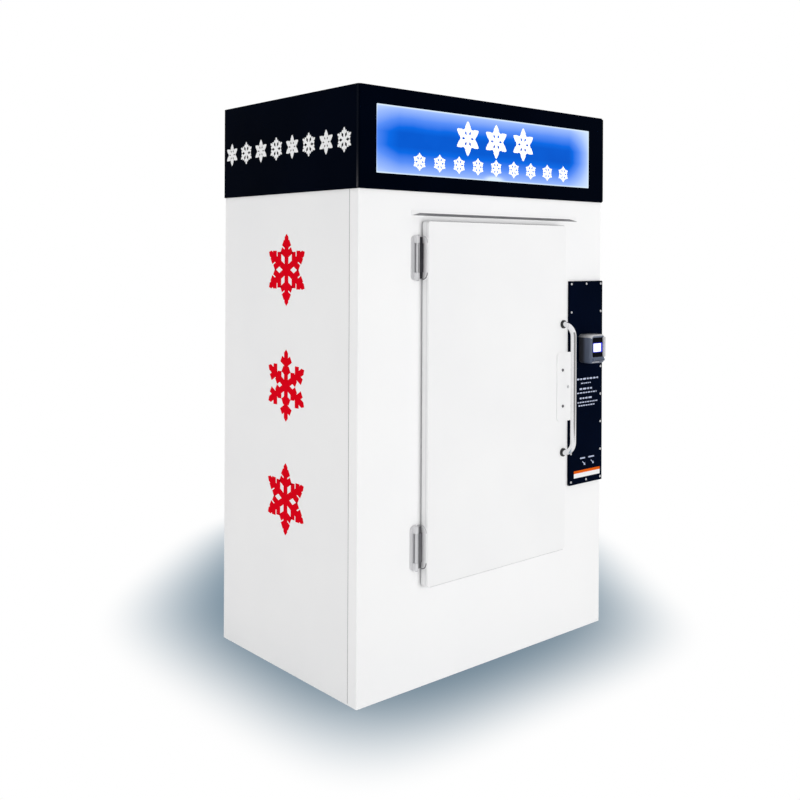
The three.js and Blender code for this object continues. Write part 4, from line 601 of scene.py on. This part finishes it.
def skinRings(form, rings, closed):
    # faces from each ring to the next, then round to the first or over both ends; a lone point is a tip
    for lower, upper in list(zip(rings, rings[1:])) + ([(rings[-1], rings[0])] if closed else []):
        for i in range(len(rings[0])):
            corners = [lower[i % len(lower)], lower[(i + 1) % len(lower)],
                       upper[(i + 1) % len(upper)], upper[i % len(upper)]]
            form.faces.new(list(dict.fromkeys(corners)))
    if not closed:
        for ring in (rings[0], rings[-1]):
            if len(ring) > 1:
                form.faces.new(ring)


def turnedMesh(profile, sides, closed=False):
    # a profile of (radius, height) points, turned about z
    form = bmesh.new()
    rings = [circle(form, radius, height, sides if radius else 1) for radius, height in profile]
    skinRings(form, rings, closed)
    return toMesh(form, 35)


def wireMesh(path, radius, sides=8, closed=False):
    # a round wire along a list of points
    form = bmesh.new()
    rings = []
    count = len(path)
    side = None
    for i, point in enumerate(path):
        before = path[i - 1] if closed or i else point
        after = path[(i + 1) % count] if closed or i < count - 1 else point
        along = (Vector(after) - Vector(before)).normalized()
        if side is None:
            side = along.orthogonal().normalized()
        side = (side - along * side.dot(along)).normalized()
        up = along.cross(side)
        turns = [2 * pi * k / sides for k in range(sides)]
        rings.append([form.verts.new(Vector(point) + radius * (side * cos(a) + up * sin(a))) for a in turns])
    skinRings(form, rings, closed)
    return toMesh(form, 50)


def joinMeshes(meshes):
    form = bmesh.new()
    for mesh in meshes:
        form.from_mesh(mesh)
    joined = bpy.data.meshes.new("piece")
    form.to_mesh(joined)
    form.free()
    return joined


def cutFilm(name, colour, shade, roughness=0.5, gloss=0.01):
    # thin self-coloured film, with a coarser peel than paint
    return paintedSheet(name, colour, shade, roughness=roughness, gloss=gloss, peelSize=0.003)


# figures of cut film on the side, the canopy and the sign
snowFilm = 0.00015       # thickness of the film
snowGap = 0.00005        # film to panel

# pairs of twigs on each arm: place along the arm and length, as shares of the radius
fullTwigs = ((0.40, 0.30), (0.66, 0.20))
bareTwigs = ((0.52, 0.34),)
shortTwigs = ((0.36, 0.20), (0.60, 0.27))

sideFlakes = {"across": -0.002, "radius": 0.128, "arm": 0.024,
              "heights": ((1.421, fullTwigs), (1.0115, shortTwigs), (0.6095, fullTwigs))}
canopyFlakes = {"across": evenly(-0.34, 0.355, 8), "height": 1.853, "radius": 0.042, "arm": 0.0095}
signFlakes = {
    "large": {"across": (-0.135, 0.01, 0.155), "height": 1.889, "radius": 0.062, "arm": 0.013,
              "twigs": fullTwigs},
    "small": {"across": evenly(-0.365, 0.385, 9), "height": 1.792, "radius": 0.031, "arm": 0.0075,
              "twigs": bareTwigs},
}

redFilm = cutFilm("redFilm", tone(229, 0, 26), tone(221, 0, 23))
whiteFilm = cutFilm("whiteFilm", (0.92, 0.92, 0.92), (0.88, 0.88, 0.89), 0.45, 0.3)
litFilm = litSheet("litFilm", (1.0, 0.985, 0.95), (0.97, 0.95, 0.93), grainSize=0.02, glow=0.35)


def flakeOutline(radius, arm, twigs):
    # six arms, each with pairs of twigs that lean out by 60 degrees
    half = arm / 2
    lean = radians(60)
    edge = [(half / tan(radians(30)), half)]
    inner, outer = (half * (1 + side * cos(lean)) / sin(lean) for side in (-1, 1))
    for place, length in twigs:
        start, reach = place * radius, length * radius
        for out, side in ((inner, -1), (reach, -1), (reach, 1), (outer, 1)):
            edge.append((start + out * cos(lean) + side * half * sin(lean),
                         out * sin(lean) - side * half * cos(lean)))
    edge.append((radius - half, half))
    points = []
    for i in range(6):
        turn = radians(30 + 60 * i)
        wanted = [(x, -y) for x, y in edge] + [(radius, 0)] + edge[:0:-1]
        for x, y in wanted:
            points.append((x * cos(turn) - y * sin(turn), x * sin(turn) + y * cos(turn)))
    return points


def snowFigure(name, look, twigs, slot, finish, facing, x, y, z):
    outline = flakeOutline(look["radius"], look["arm"], twigs)
    addPiece(name, plateMesh(outline, snowFilm), slot, finish, standing(facing, x, y, z))


def makeSnowFigures():
    look = sideFlakes
    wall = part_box("side_panel_left")[0].x - snowGap
    for i, (height, twigs) in enumerate(look["heights"]):
        snowFigure(f"side_snowflake_{i + 1}", look, twigs, "white_paint", redFilm,
                   facingLeft, wall, look["across"], height)
    look = canopyFlakes
    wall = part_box("canopy_side_left")[0].x - snowGap
    for i, y in enumerate(look["across"]):
        snowFigure(f"canopy_snowflake_{i + 1}", look, fullTwigs if i % 2 else bareTwigs,
                   "black_paint", whiteFilm, facingLeft, wall, y, look["height"])
    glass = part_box("sign_panel")[0].y - snowGap
    for size, look in signFlakes.items():
        for i, x in enumerate(look["across"]):
            snowFigure(f"sign_snowflake_{size}_{i + 1}", look, look["twigs"],
                       "sign_acrylic", litFilm, facingFront, x, glass, look["height"])


makeSnowFigures()
print("snow figures cut")


coverScrews = {
    "columns": (0.431, 0.612), "heights": evenly(0.590, 1.365, 8),
    "middles": ((0.522, 1.365), (0.524, 0.590)), "radius": 0.0048,
}
guardScrews = {"places": ((0.344, 1.038), (0.345, 0.900)), "radius": 0.0058}
rearScrews = {"columns": (-0.60, -0.36, 0, 0.36, 0.60), "inset": 0.012, "radius": 0.0045}
backRivets = {"fromEdge": 0.016, "heights": evenly(0.08, 1.62, 8), "radius": 0.004, "sides": 20,
              "head": ((1, 0), (1, 0.0006), (0.7, 0.0016), (0, 0.002))}    # share of radius, height
# height and socket are shares of the head's radius, rings and socketRises of radius, socket and height
screwHead = {"sides": 24, "height": 0.55, "rings": ((1, 0), (1, 0.25), (0.86, 0.7), (0.62, 1)),
             "socket": 0.42, "socketRises": (1, 0.35)}

screwSteel = brushedMetal("screwSteel", (0.85, 0.85, 0.86), (0.70, 0.70, 0.72), roughness=0.3, metal=1)
darkScrewSteel = brushedMetal("darkScrewSteel", (0.20, 0.20, 0.21), (0.13, 0.13, 0.14), metal=1)


def domeScrewMesh(radius):
    # a round head with a six-sided socket
    form = bmesh.new()
    sides, height = screwHead["sides"], radius * screwHead["height"]
    rings = [circle(form, radius * reach, height * rise, sides) for reach, rise in screwHead["rings"]]
    sixth = radians(60)
    for rise in screwHead["socketRises"]:
        ring = circle(form, radius * screwHead["socket"], height * rise, sides)
        for i, vert in enumerate(ring):
            flat = cos(sixth / 2) / cos((2 * pi * i / sides) % sixth - sixth / 2)
            vert.co.x *= flat
            vert.co.y *= flat
        rings.append(ring)
    skinRings(form, rings, False)
    return toMesh(form, 35)


def setScrews(name, mesh, places, facing, wall, finish, slot="satin_steel", body="cabinet", digits=2):
    for i, (x, z) in enumerate(places):
        addPiece(f"{name}_{i + 1:0{digits}d}", mesh, slot, finish, standing(facing, x, wall, z), body)


def makeScrews():
    look = coverScrews
    places = [(x, z) for x in look["columns"] for z in look["heights"]]
    setScrews("cover_screw", domeScrewMesh(look["radius"]), places + list(look["middles"]),
              facingFront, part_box("control_cover")[0].y, screwSteel)
    setScrews("guard_screw", domeScrewMesh(guardScrews["radius"]), guardScrews["places"],
              facingFront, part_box("latch_guard_plate")[0].y, darkScrewSteel, body="door", digits=1)
    low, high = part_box("rear_louvre_panel")
    heights = low.z + rearScrews["inset"], high.z - rearScrews["inset"]
    setScrews("rear_screw", domeScrewMesh(rearScrews["radius"]),
              [(x, z) for x in rearScrews["columns"] for z in heights],
              facingBack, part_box("canopy_side_left")[1].y, darkScrewSteel)
    look = backRivets
    radius = look["radius"]
    low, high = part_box("back_panel")
    edges = low.x + look["fromEdge"], high.x - look["fromEdge"]
    head = [(radius * reach, height) for reach, height in look["head"]]
    setScrews("back_rivet", turnedMesh(head, look["sides"]), [(x, z) for x in edges for z in look["heights"]],
              facingBack, high.y, None, "white_paint")


makeScrews()
print("screws in")


handleLook = {"tube": 0.0107, "bend": 0.046, "bendSteps": 12, "sides": 28,
              "flange": 0.016, "flangeRise": 0.006, "flangeSides": 36,
              "edge": 0.0022, "edgeSteps": 4, "boreGap": 0.0003}


def quarter(steps):
    return [pi / 2 * i / steps for i in range(steps + 1)]


def makeHandle():
    look = handleLook
    low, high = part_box("door_handle")
    x = (low.x + high.x) / 2
    out = low.y + look["tube"]
    lower, upper = low.z + look["tube"], high.z - look["tube"]
    bend = look["bend"]
    arc = [(out + bend - bend * sin(a), bend - bend * cos(a)) for a in quarter(look["bendSteps"])]
    path = [(x, high.y, lower)] + [(x, y, lower + rise) for y, rise in arc]
    path += [(x, y, upper - rise) for y, rise in reversed(arc)] + [(x, high.y, upper)]
    tube = addPiece("handle_tube", wireMesh(path, look["tube"], look["sides"]), "chrome", body="door")
    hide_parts("door_handle")
    tube.visible_shadow = False    # the lamps are broad enough to wash its shadow off the door

    reach, rise, edge = look["flange"], look["flangeRise"], look["edge"]
    bore = look["tube"] + look["boreGap"]
    profile = [(bore, 0), (reach, 0)]
    profile += [(reach - edge + edge * cos(a), rise - edge + edge * sin(a))
                for a in quarter(look["edgeSteps"])]
    profile.append((bore, rise))
    for name, z in (("upper", upper), ("lower", lower)):
        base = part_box(f"handle_flange_{name}")[1].y
        collar = addPiece(f"handle_collar_{name}", turnedMesh(profile, look["flangeSides"], True),
                          "black_enamel", None, standing(facingFront, x, base, z), "door")
        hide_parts(f"handle_flange_{name}")


makeHandle()
print("handle fitted")


strapLook = {
    "thick": 0.0024, "edge": 0.0007, "cornerSteps": 10,
    "front": 0.024, "back": 0.003,              # reach of the plate before and behind the pin
    "backFlat": 0.004,                          # what the corners' sweep leaves straight
    "knuckle": 0.0068, "bore": 0.0037, "knuckleEnd": 0.0256, "knuckleEdge": 0.0005, "sides": 40,
    "web": 0.004, "webFrom": 0.85,              # webFrom is a share of the knuckle
    "cornerShadeRadii": {"low": 0.0018, "high": 0.0012},
    "coverFrom": 0.0072, "coverBack": 0.0022, "coverThick": 0.0012, "coverShort": 0.004,
    "plateCorner": 0.0008,
}

# painted reflection: the chrome strap drawn as a near-white, non-metal finish, the white room it reflects
strapReflectionWhite = brushedMetal("strapReflectionWhite", (0.97, 0.97, 0.98), (0.93, 0.93, 0.94), roughness=0.3, gloss=0.8)
leafSteel = brushedMetal("leafSteel", (0.80, 0.80, 0.81), (0.68, 0.68, 0.70), roughness=0.42, metal=0.55)
# painted shade for the strap plate's rounded corners: a darker grey low, a lighter one high
cornerShadeSteel = {end: brushedMetal("cornerShade_" + end, colour, shade, metal=0.3)
            for end, colour, shade in (("low", (0.20, 0.20, 0.21), (0.14, 0.14, 0.15)),
                                       ("high", (0.55, 0.55, 0.56), (0.45, 0.45, 0.46)))}
# painted shade: the greys of the shaded slot between barrel and door's edge, paler at the lower hinge
slotShadeGrey = {name: moulded(
    "slotShade_" + name, colour, shade, roughness=0.7, gloss=0.1) for name, colour, shade in (
        ("upper", tone(58, 58, 62), tone(46, 46, 50)), ("lower", tone(112, 112, 115), tone(98, 98, 101)))}


def makeHingeStrap(name):
    look = strapLook
    low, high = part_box(f"hinge_strap_{name}")
    pin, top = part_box(f"hinge_pin_{name}")
    x, y = (pin.x + top.x) / 2, (pin.y + top.y) / 2
    height = high.z - low.z
    # a D on its side: flat behind, each front corner in one sweep of (along, up) points
    corner = look["front"] + look["back"] - look["backFlat"]
    lowArc = [(look["front"] - corner + corner * sin(a), corner - corner * cos(a))
              for a in quarter(look["cornerSteps"])]
    highArc = [(along, height - up) for along, up in reversed(lowArc)]
    outline = [(-look["back"], 0)] + lowArc + highArc + [(-look["back"], height)]
    plate = addPiece(f"strap_plate_{name}", plateMesh(outline, look["thick"], look["edge"]), "satin_steel",
                     strapReflectionWhite, standing(facingLeft, high.x, y, low.z), "door")
    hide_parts(f"hinge_strap_{name}")
    giveFinish(leafSteel, f"hinge_leaf_{name}")

    # painted shade: dark wires round both front corners, where the rounded edge turns from the light
    edge = high.x - look["thick"]
    for end, arc, side in (("low", lowArc, 1), ("high", highArc, -1)):
        rim = look["cornerShadeRadii"][end]
        path = [(edge, y - along + rim, low.z + up + side * rim) for along, up in arc]
        addPiece(f"strap_corner_shade_{end}_{name}", wireMesh(path, rim), "satin_steel", cornerShadeSteel[end], body="door")

    bore, reach, soft = look["bore"], look["knuckle"], look["knuckleEdge"]
    start, tall = low.z + look["knuckleEnd"], height - 2 * look["knuckleEnd"]
    profile = ((bore, 0), (reach - soft, 0), (reach, soft),
               (reach, tall - soft), (reach - soft, tall), (bore, tall))
    addPiece(f"strap_knuckle_{name}", turnedMesh(profile, look["sides"], True), "satin_steel", None,
             Matrix.Translation((x, y, start)), "door")

    # painted shade: the web from knuckle to plate takes the slot's shade grey; the thin cover stands where
    # there is only shade
    short = look["coverShort"]
    for kind, left, front, thick, bottom, top in (
            ("web", x + reach * look["webFrom"], y - look["web"] / 2, look["web"], start, start + tall),
            ("cover", x + look["coverFrom"], y + look["coverBack"], look["coverThick"],
             low.z + short, high.z - short)):
        frontPlate(f"strap_{kind}_{name}", (left, edge, bottom, top), look["plateCorner"], front + thick,
                   thick, "black_enamel", slotShadeGrey[name], 2, body="door")


for name in ("upper", "lower"):
    makeHingeStrap(name)
print("hinge straps on")


# painted shade: a grey wire in the rolled edge over and under the door; sink is a share of its radius
hemShadeLine = {"radius": 0.0012, "tuck": 0.0014, "sink": 0.4, "ends": 0.012, "sides": 10}
# strips on the side walls; round is a share of the width
seam = {"width": 0.0022, "round": 0.4, "film": 0.0002}
sideSeam = {**seam, "ends": 0.008, "back": 0.0098}
frontSeam = {**seam, "ends": 0.006}
dripShade = {
    "lipLeft": 0.007, "lipRight": 0.084, "lipRise": 0.008,    # the rail's mitres and the slope of its shelf
    "ends": 0.002, "front": 0.0005, "back": 0.0075, "gap": 0.0003, "thick": 0.0006,
}

paleBead = moulded(
    "paleBead", tone(226, 226, 228), tone(218, 218, 220), roughness=0.6, gloss=0.2, grainSize=0.002,
    grainDepth=0.00002)
seamAndShadeLineFinish = {"roughness": 0.7, "gloss": 0.1, "grainSize": 0.002, "grainDepth": 0.00005}
# painted shade of the door's rolled edge
hemShadeGrey = moulded("hemShadeGrey", tone(116, 116, 118), tone(106, 106, 109), **seamAndShadeLineFinish)
seamBead = moulded("seamBead", tone(158, 158, 160), tone(148, 148, 150), **seamAndShadeLineFinish)
# the grey of the painted shade under the drip rail
railShadeGrey = moulded("railShadeGrey", tone(150, 150, 153), tone(140, 140, 143), roughness=0.8, gloss=0.05)


def sideStrip(name, look, facing, x, y, bottom, top, slot, finish, body="cabinet"):
    width = look["width"]
    outline = roundedOutline(width, top - bottom - 2 * look["ends"], width * look["round"], steps=2)
    addPiece(name, plateMesh(outline, look["film"]), slot, finish,
             standing(facing, x, y, (bottom + top) / 2), body)


def makeDoorShadeLineAndSeam():
    low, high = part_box("door_outer_pan")
    look = hemShadeLine
    inward = look["tuck"] + look["radius"] * look["sink"]
    ends = low.x + look["ends"], high.x - look["ends"]
    wires = [wireMesh([(x, low.y + inward, z) for x in ends], look["radius"], look["sides"])
             for z in (low.z + inward, high.z - inward)]
    addPiece("door_hem_shade_line", joinMeshes(wires), "grey_rubber", hemShadeGrey, body="door")
    y = low.y + sideSeam["back"] + sideSeam["width"] / 2
    sideStrip("door_side_seam", sideSeam, facingLeft, low.x, y, low.z, high.z,
              "grey_rubber", paleBead, "door")


def makeFrontSeams():
    # where the wrapped front sheet ends on each side
    low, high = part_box("front_frame")
    for side, x, facing in (("left", low.x, facingLeft), ("right", high.x, facingRight)):
        sideStrip(f"front_seam_{side}", frontSeam, facing, x, high.y, low.z, high.z, "grey_rubber", seamBead)


def makeDripShade():
    # painted shade: a dark strip under the rail's sloping shelf, cut to the rail's mitres
    look = dripShade
    low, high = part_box("drip_rail")
    back, front = high.y - look["back"], low.y + look["front"]
    lip = low.z + look["lipRise"] - look["gap"]
    start = low.z + look["lipRise"] * look["back"] / (high.y - low.y) - look["gap"]
    form = bmesh.new()
    raiseFace(form, [(low.x + look["ends"], back, start), (high.x - look["ends"], back, start),
                     (high.x - look["lipRight"], front, lip), (low.x + look["lipLeft"], front, lip)],
              -look["thick"])
    shadeStrip = addPiece("drip_shade_strip", toMesh(form), "grey_rubber", railShadeGrey)
    shadeStrip.visible_shadow = False
    frame["nodes"]["drip_rail"].visible_shadow = False    # keeps the strip of wall under it white


cornerHighlightLook = {
    "width": 0.010, "ends": 0.003, "round": 0.3, "film": 0.00015, "setBack": 0.001,
    "colour": tone(74, 73, 77), "shade": tone(1, 5, 17),
    "fade": 6,                 # how fast the painted highlight gives way to paint, going up
    "roughness": 0.45, "gloss": 0.02, "highlightPatchiness": 0.25, "highlightPatchSize": 0.01,
}


def makeCornerHighlights():
    # painted highlight on the canopy's front corners, brightest low down, broken into patches
    low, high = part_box("canopy_side_left")
    finish, tree, shader, look = newFinish("canopyCornerHighlight", **cornerHighlightLook)
    half = (high.z - low.z) / 2 - look["ends"]
    down = spread(placeXYZ(tree)[1], -half, half, 1, 0)    # y runs up the strip
    patchy = drift(tree, look["highlightPatchSize"], 1 - look["highlightPatchiness"], 1, 3)
    paint(shader, calc("MULTIPLY", calc("POWER", down, look["fade"]), patchy), look)
    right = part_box("canopy_side_right")[1].x
    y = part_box("canopy_front_panel")[0].y + look["width"] / 2 + look["setBack"]
    for side, x, facing in (("left", low.x, facingLeft), ("right", right, facingRight)):
        sideStrip(f"canopy_corner_highlight_{side}", look, facing, x, y, low.z, high.z, "black_paint", finish)


makeDoorShadeLineAndSeam()
makeFrontSeams()
makeDripShade()
makeCornerHighlights()
print("shade lines, highlights and seams drawn")


coverTrim = {
    "film": 0.0002,
    "label": (0.4495, 0.6105, 0.602, 0.630),    # left, right, bottom, top
    "labelBand": 0.0105,                        # orange part, from the top
    "rows": ((0.466, 0.604, 0.989, 0.0065), (0.491, 0.553, 0.972, 0.0045), (0.482, 0.560, 0.950, 0.0065),
             (0.467, 0.589, 0.9345, 0.0045), (0.483, 0.560, 0.913, 0.0065), (0.470, 0.598, 0.897, 0.0045),
             (0.476, 0.576, 0.884, 0.0045)),    # left, right, height and thickness of each row
    "dashLengths": (1.6, 3.6), "dashGap": 0.8, "dashRound": 0.35,    # in row thicknesses
    "arrows": (0.511, 0.564), "arrowHeight": 0.655, "arrowSize": 0.024, "arrowLean": 50,
    "arrowShape": ((-0.14, 1), (-0.14, -0.2), (-0.5, -0.2), (0, -1),
                   (0.5, -0.2), (0.14, -0.2), (0.14, 1)),    # in half sizes
    "caps": ((0.487, 0.518), (0.539, 0.574)), "capHeight": 0.6765, "capThick": 0.0055,
    "barCorner": 0.001,
    "seed": 7,
}

printFilm = cutFilm("printFilm", tone(196, 204, 226), tone(170, 180, 208), gloss=0.05)
orangeFilm = cutFilm("orangeFilm", tone(232, 100, 18), tone(224, 92, 14))
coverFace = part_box("control_cover")[0].y - snowGap


def onCover(name, mesh, finish, x, z, lean=0):
    addPiece(name, mesh, "navy_cover", finish,
             standing(facingFront, x, coverFace, z) @ Matrix.Rotation(radians(lean), 4, "Z"))


def flatBar(name, span, finish):
    frontPlate(name, span, coverTrim["barCorner"], coverFace, coverTrim["film"], "navy_cover", finish, 3)


def dashRow(name, left, right, height, thick, lengths):
    # a row of short strokes with rounded ends
    strokes = []
    start = left
    while start < right - thick:
        length = min(lengths.uniform(*coverTrim["dashLengths"]) * thick, right - start)
        outline = roundedOutline(length, thick, thick * coverTrim["dashRound"], start + length / 2, 0, 3)
        strokes.append(plateMesh(outline, coverTrim["film"]))
        start += length + coverTrim["dashGap"] * thick
    onCover(name, joinMeshes(strokes), printFilm, 0, height)


def makeCoverTrim():
    look = coverTrim
    left, right, bottom, top = look["label"]
    band = top - look["labelBand"]
    flatBar("cover_label_lower", (left, right, bottom, band), whiteFilm)
    flatBar("cover_label_upper", (left, right, band, top), orangeFilm)
    lengths = random.Random(look["seed"])
    for i, row in enumerate(look["rows"]):
        dashRow(f"cover_row_{i + 1}", *row, lengths)
    height, half = look["capHeight"], look["capThick"] / 2
    for i, ends in enumerate(look["caps"]):
        flatBar(f"cover_cap_{i + 1}", (*ends, height - half, height + half), printFilm)
    half = look["arrowSize"] / 2
    outline = [(half * x, half * y) for x, y in look["arrowShape"]]
    for i, x in enumerate(look["arrows"]):
        onCover(f"cover_arrow_{i + 1}", plateMesh(outline, look["film"]), printFilm, x,
                look["arrowHeight"], look["arrowLean"])


makeCoverTrim()
print("cover trimmed")


readerLook = {
    "screen": (0.4895, 0.5350, 1.101, 1.133),     # left, right, bottom, top
    "blue": (0.4865, 0.5445, 1.0985, 1.1355),
    "screenCorner": 0.002, "lift": 0.0002, "film": 0.0003,
    # where the painted highlight down the window's right edge lies
    "trim": (0.546, 0.5596, 1.079, 1.158), "trimCorner": 0.004,
    "trimFront": 0.0663, "trimBack": 0.0555, "trimEdge": 0.0016,    # reach from the cover
    "corner": 0.012, "cornerSteps": 6,
    "capDrop": 0.011,                             # how far the painted top highlight comes down at its corners
    "capRings": ((0.0010, 0), (0.0540, 0), (0.0595, 0.0017), (0.0622, 0.005)),  # from the cover, inset
    "capSkin": 0.0005,
    # painted highlights on the lip's edges, as bars: left, right, height, reach from the cover, radius
    "lipHighlights": {"upper": (0.484, 0.552, 1.0755, 0.0640, 0.0012),
                "lower": (0.480, 0.522, 1.0612, 0.0625, 0.0014)},
    "barSides": 10,
}

screenPlastic = {"roughness": 0.2, "gloss": 0.02, "grainSize": 0.01}
screenGlow = litSheet("screenGlow", (0.97, 0.98, 1.0), (0.93, 0.95, 1.0), glow=0.5, **screenPlastic)
blueGlow = litSheet("blueGlow", tone(46, 56, 206), tone(36, 46, 190), glow=0.35, **screenPlastic)
# painted highlights: pale where the reader's top and edges catch the light, blue-grey on the lip's upper
# slope
highlightPlastic = {"roughness": 0.35, "grainSize": 0.0008, "grainDepth": 0.00002}
paleHighlightPlastic = moulded("paleHighlightPlastic", tone(196, 196, 198), tone(184, 184, 187), **highlightPlastic)
blueHighlightPlastic = moulded("blueHighlightPlastic", tone(112, 124, 146), tone(100, 112, 134), **highlightPlastic)


def makeReader():
    look = readerLook
    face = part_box("reader_display")[0].y - look["lift"]
    for name, lift, finish in (("blue", 0, blueGlow), ("screen", look["film"], screenGlow)):
        frontPlate(f"reader_{name}", look[name], look["screenCorner"], face - lift, look["film"],
                   "display_glass", finish)
    makeReaderTopHighlight()
    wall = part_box("reader_housing")[1].y
    for name, finish in (("upper", blueHighlightPlastic), ("lower", paleHighlightPlastic)):
        left, right, height, reach, radius = look["lipHighlights"][name]
        path = [(x, wall - reach, height) for x in (left, right)]
        addPiece(f"reader_lip_highlight_{name}", wireMesh(path, radius, look["barSides"]), "reader_plastic", finish)
    # painted highlight: a pale bar down the right of the window, wrapped round the housing's edge
    frontPlate("reader_side_highlight", look["trim"], look["trimCorner"], wall - look["trimBack"],
               look["trimFront"] - look["trimBack"], "reader_plastic", paleHighlightPlastic, edge=look["trimEdge"])


def makeReaderTopHighlight():
    # painted highlight: a pale shell over the housing's top and its front bevel, which face the light
    look = readerLook
    low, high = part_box("reader_housing")
    corner, turns = look["corner"], quarter(look["cornerSteps"])
    form = bmesh.new()
    rows = []
    for reach, inset in look["capRings"]:
        left, right, top = low.x + inset, high.x - inset, high.z - inset
        arc = [(corner - corner * cos(a), top - corner + corner * sin(a)) for a in turns[1:]]
        row = [(left, top - look["capDrop"])] + [(left + along, z) for along, z in arc]
        row += [(right - along, z) for along, z in reversed(arc)] + [(right, top - look["capDrop"])]
        rows.append([form.verts.new((x, high.y - reach, z)) for x, z in row])
    for near, far in zip(rows, rows[1:]):
        for i in range(len(near) - 1):
            form.faces.new((near[i], near[i + 1], far[i + 1], far[i]))
    cap = addPiece("reader_top_highlight", toMesh(form, 40), "reader_plastic", paleHighlightPlastic)
    skin = cap.modifiers.new("skin", "SOLIDIFY")
    skin.thickness = look["capSkin"]
    skin.offset = 1


makeReader()
print("reader lit")


guardRings = {"radii": (0.022, 0.042, 0.062, 0.082), "wire": 0.0013, "spokes": 4, "stand": 0.004,
              "beyond": 0.008, "ringSteps": 36}    # beyond: how far the spokes pass the last ring


def makeFanGuard():
    look = guardRings
    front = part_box("evaporator_housing")[0].y
    low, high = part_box("evaporator_fan_blade")
    middle = Vector(((low.x + high.x) / 2, front - look["stand"], (low.z + high.z) / 2))

    def around(radius, turn, out=0):
        return middle + Vector((radius * cos(turn), -out, radius * sin(turn)))

    turns = [2 * pi * i / look["ringSteps"] for i in range(look["ringSteps"])]
    wires = [wireMesh([around(radius, turn) for turn in turns], look["wire"], closed=True)
             for radius in look["radii"]]
    for i in range(look["spokes"]):
        angle = radians(45) + 2 * pi * i / look["spokes"]
        ends = look["radii"][0], look["radii"][-1] + look["beyond"]
        spoke = [around(radius, angle, 2 * look["wire"]) for radius in ends]
        spoke.append(around(ends[1], angle, -look["stand"]))
        wires.append(wireMesh(spoke, look["wire"]))
    addPiece("evaporator_fan_guard", joinMeshes(wires), "chrome")


makeFanGuard()
print("fan guard on")
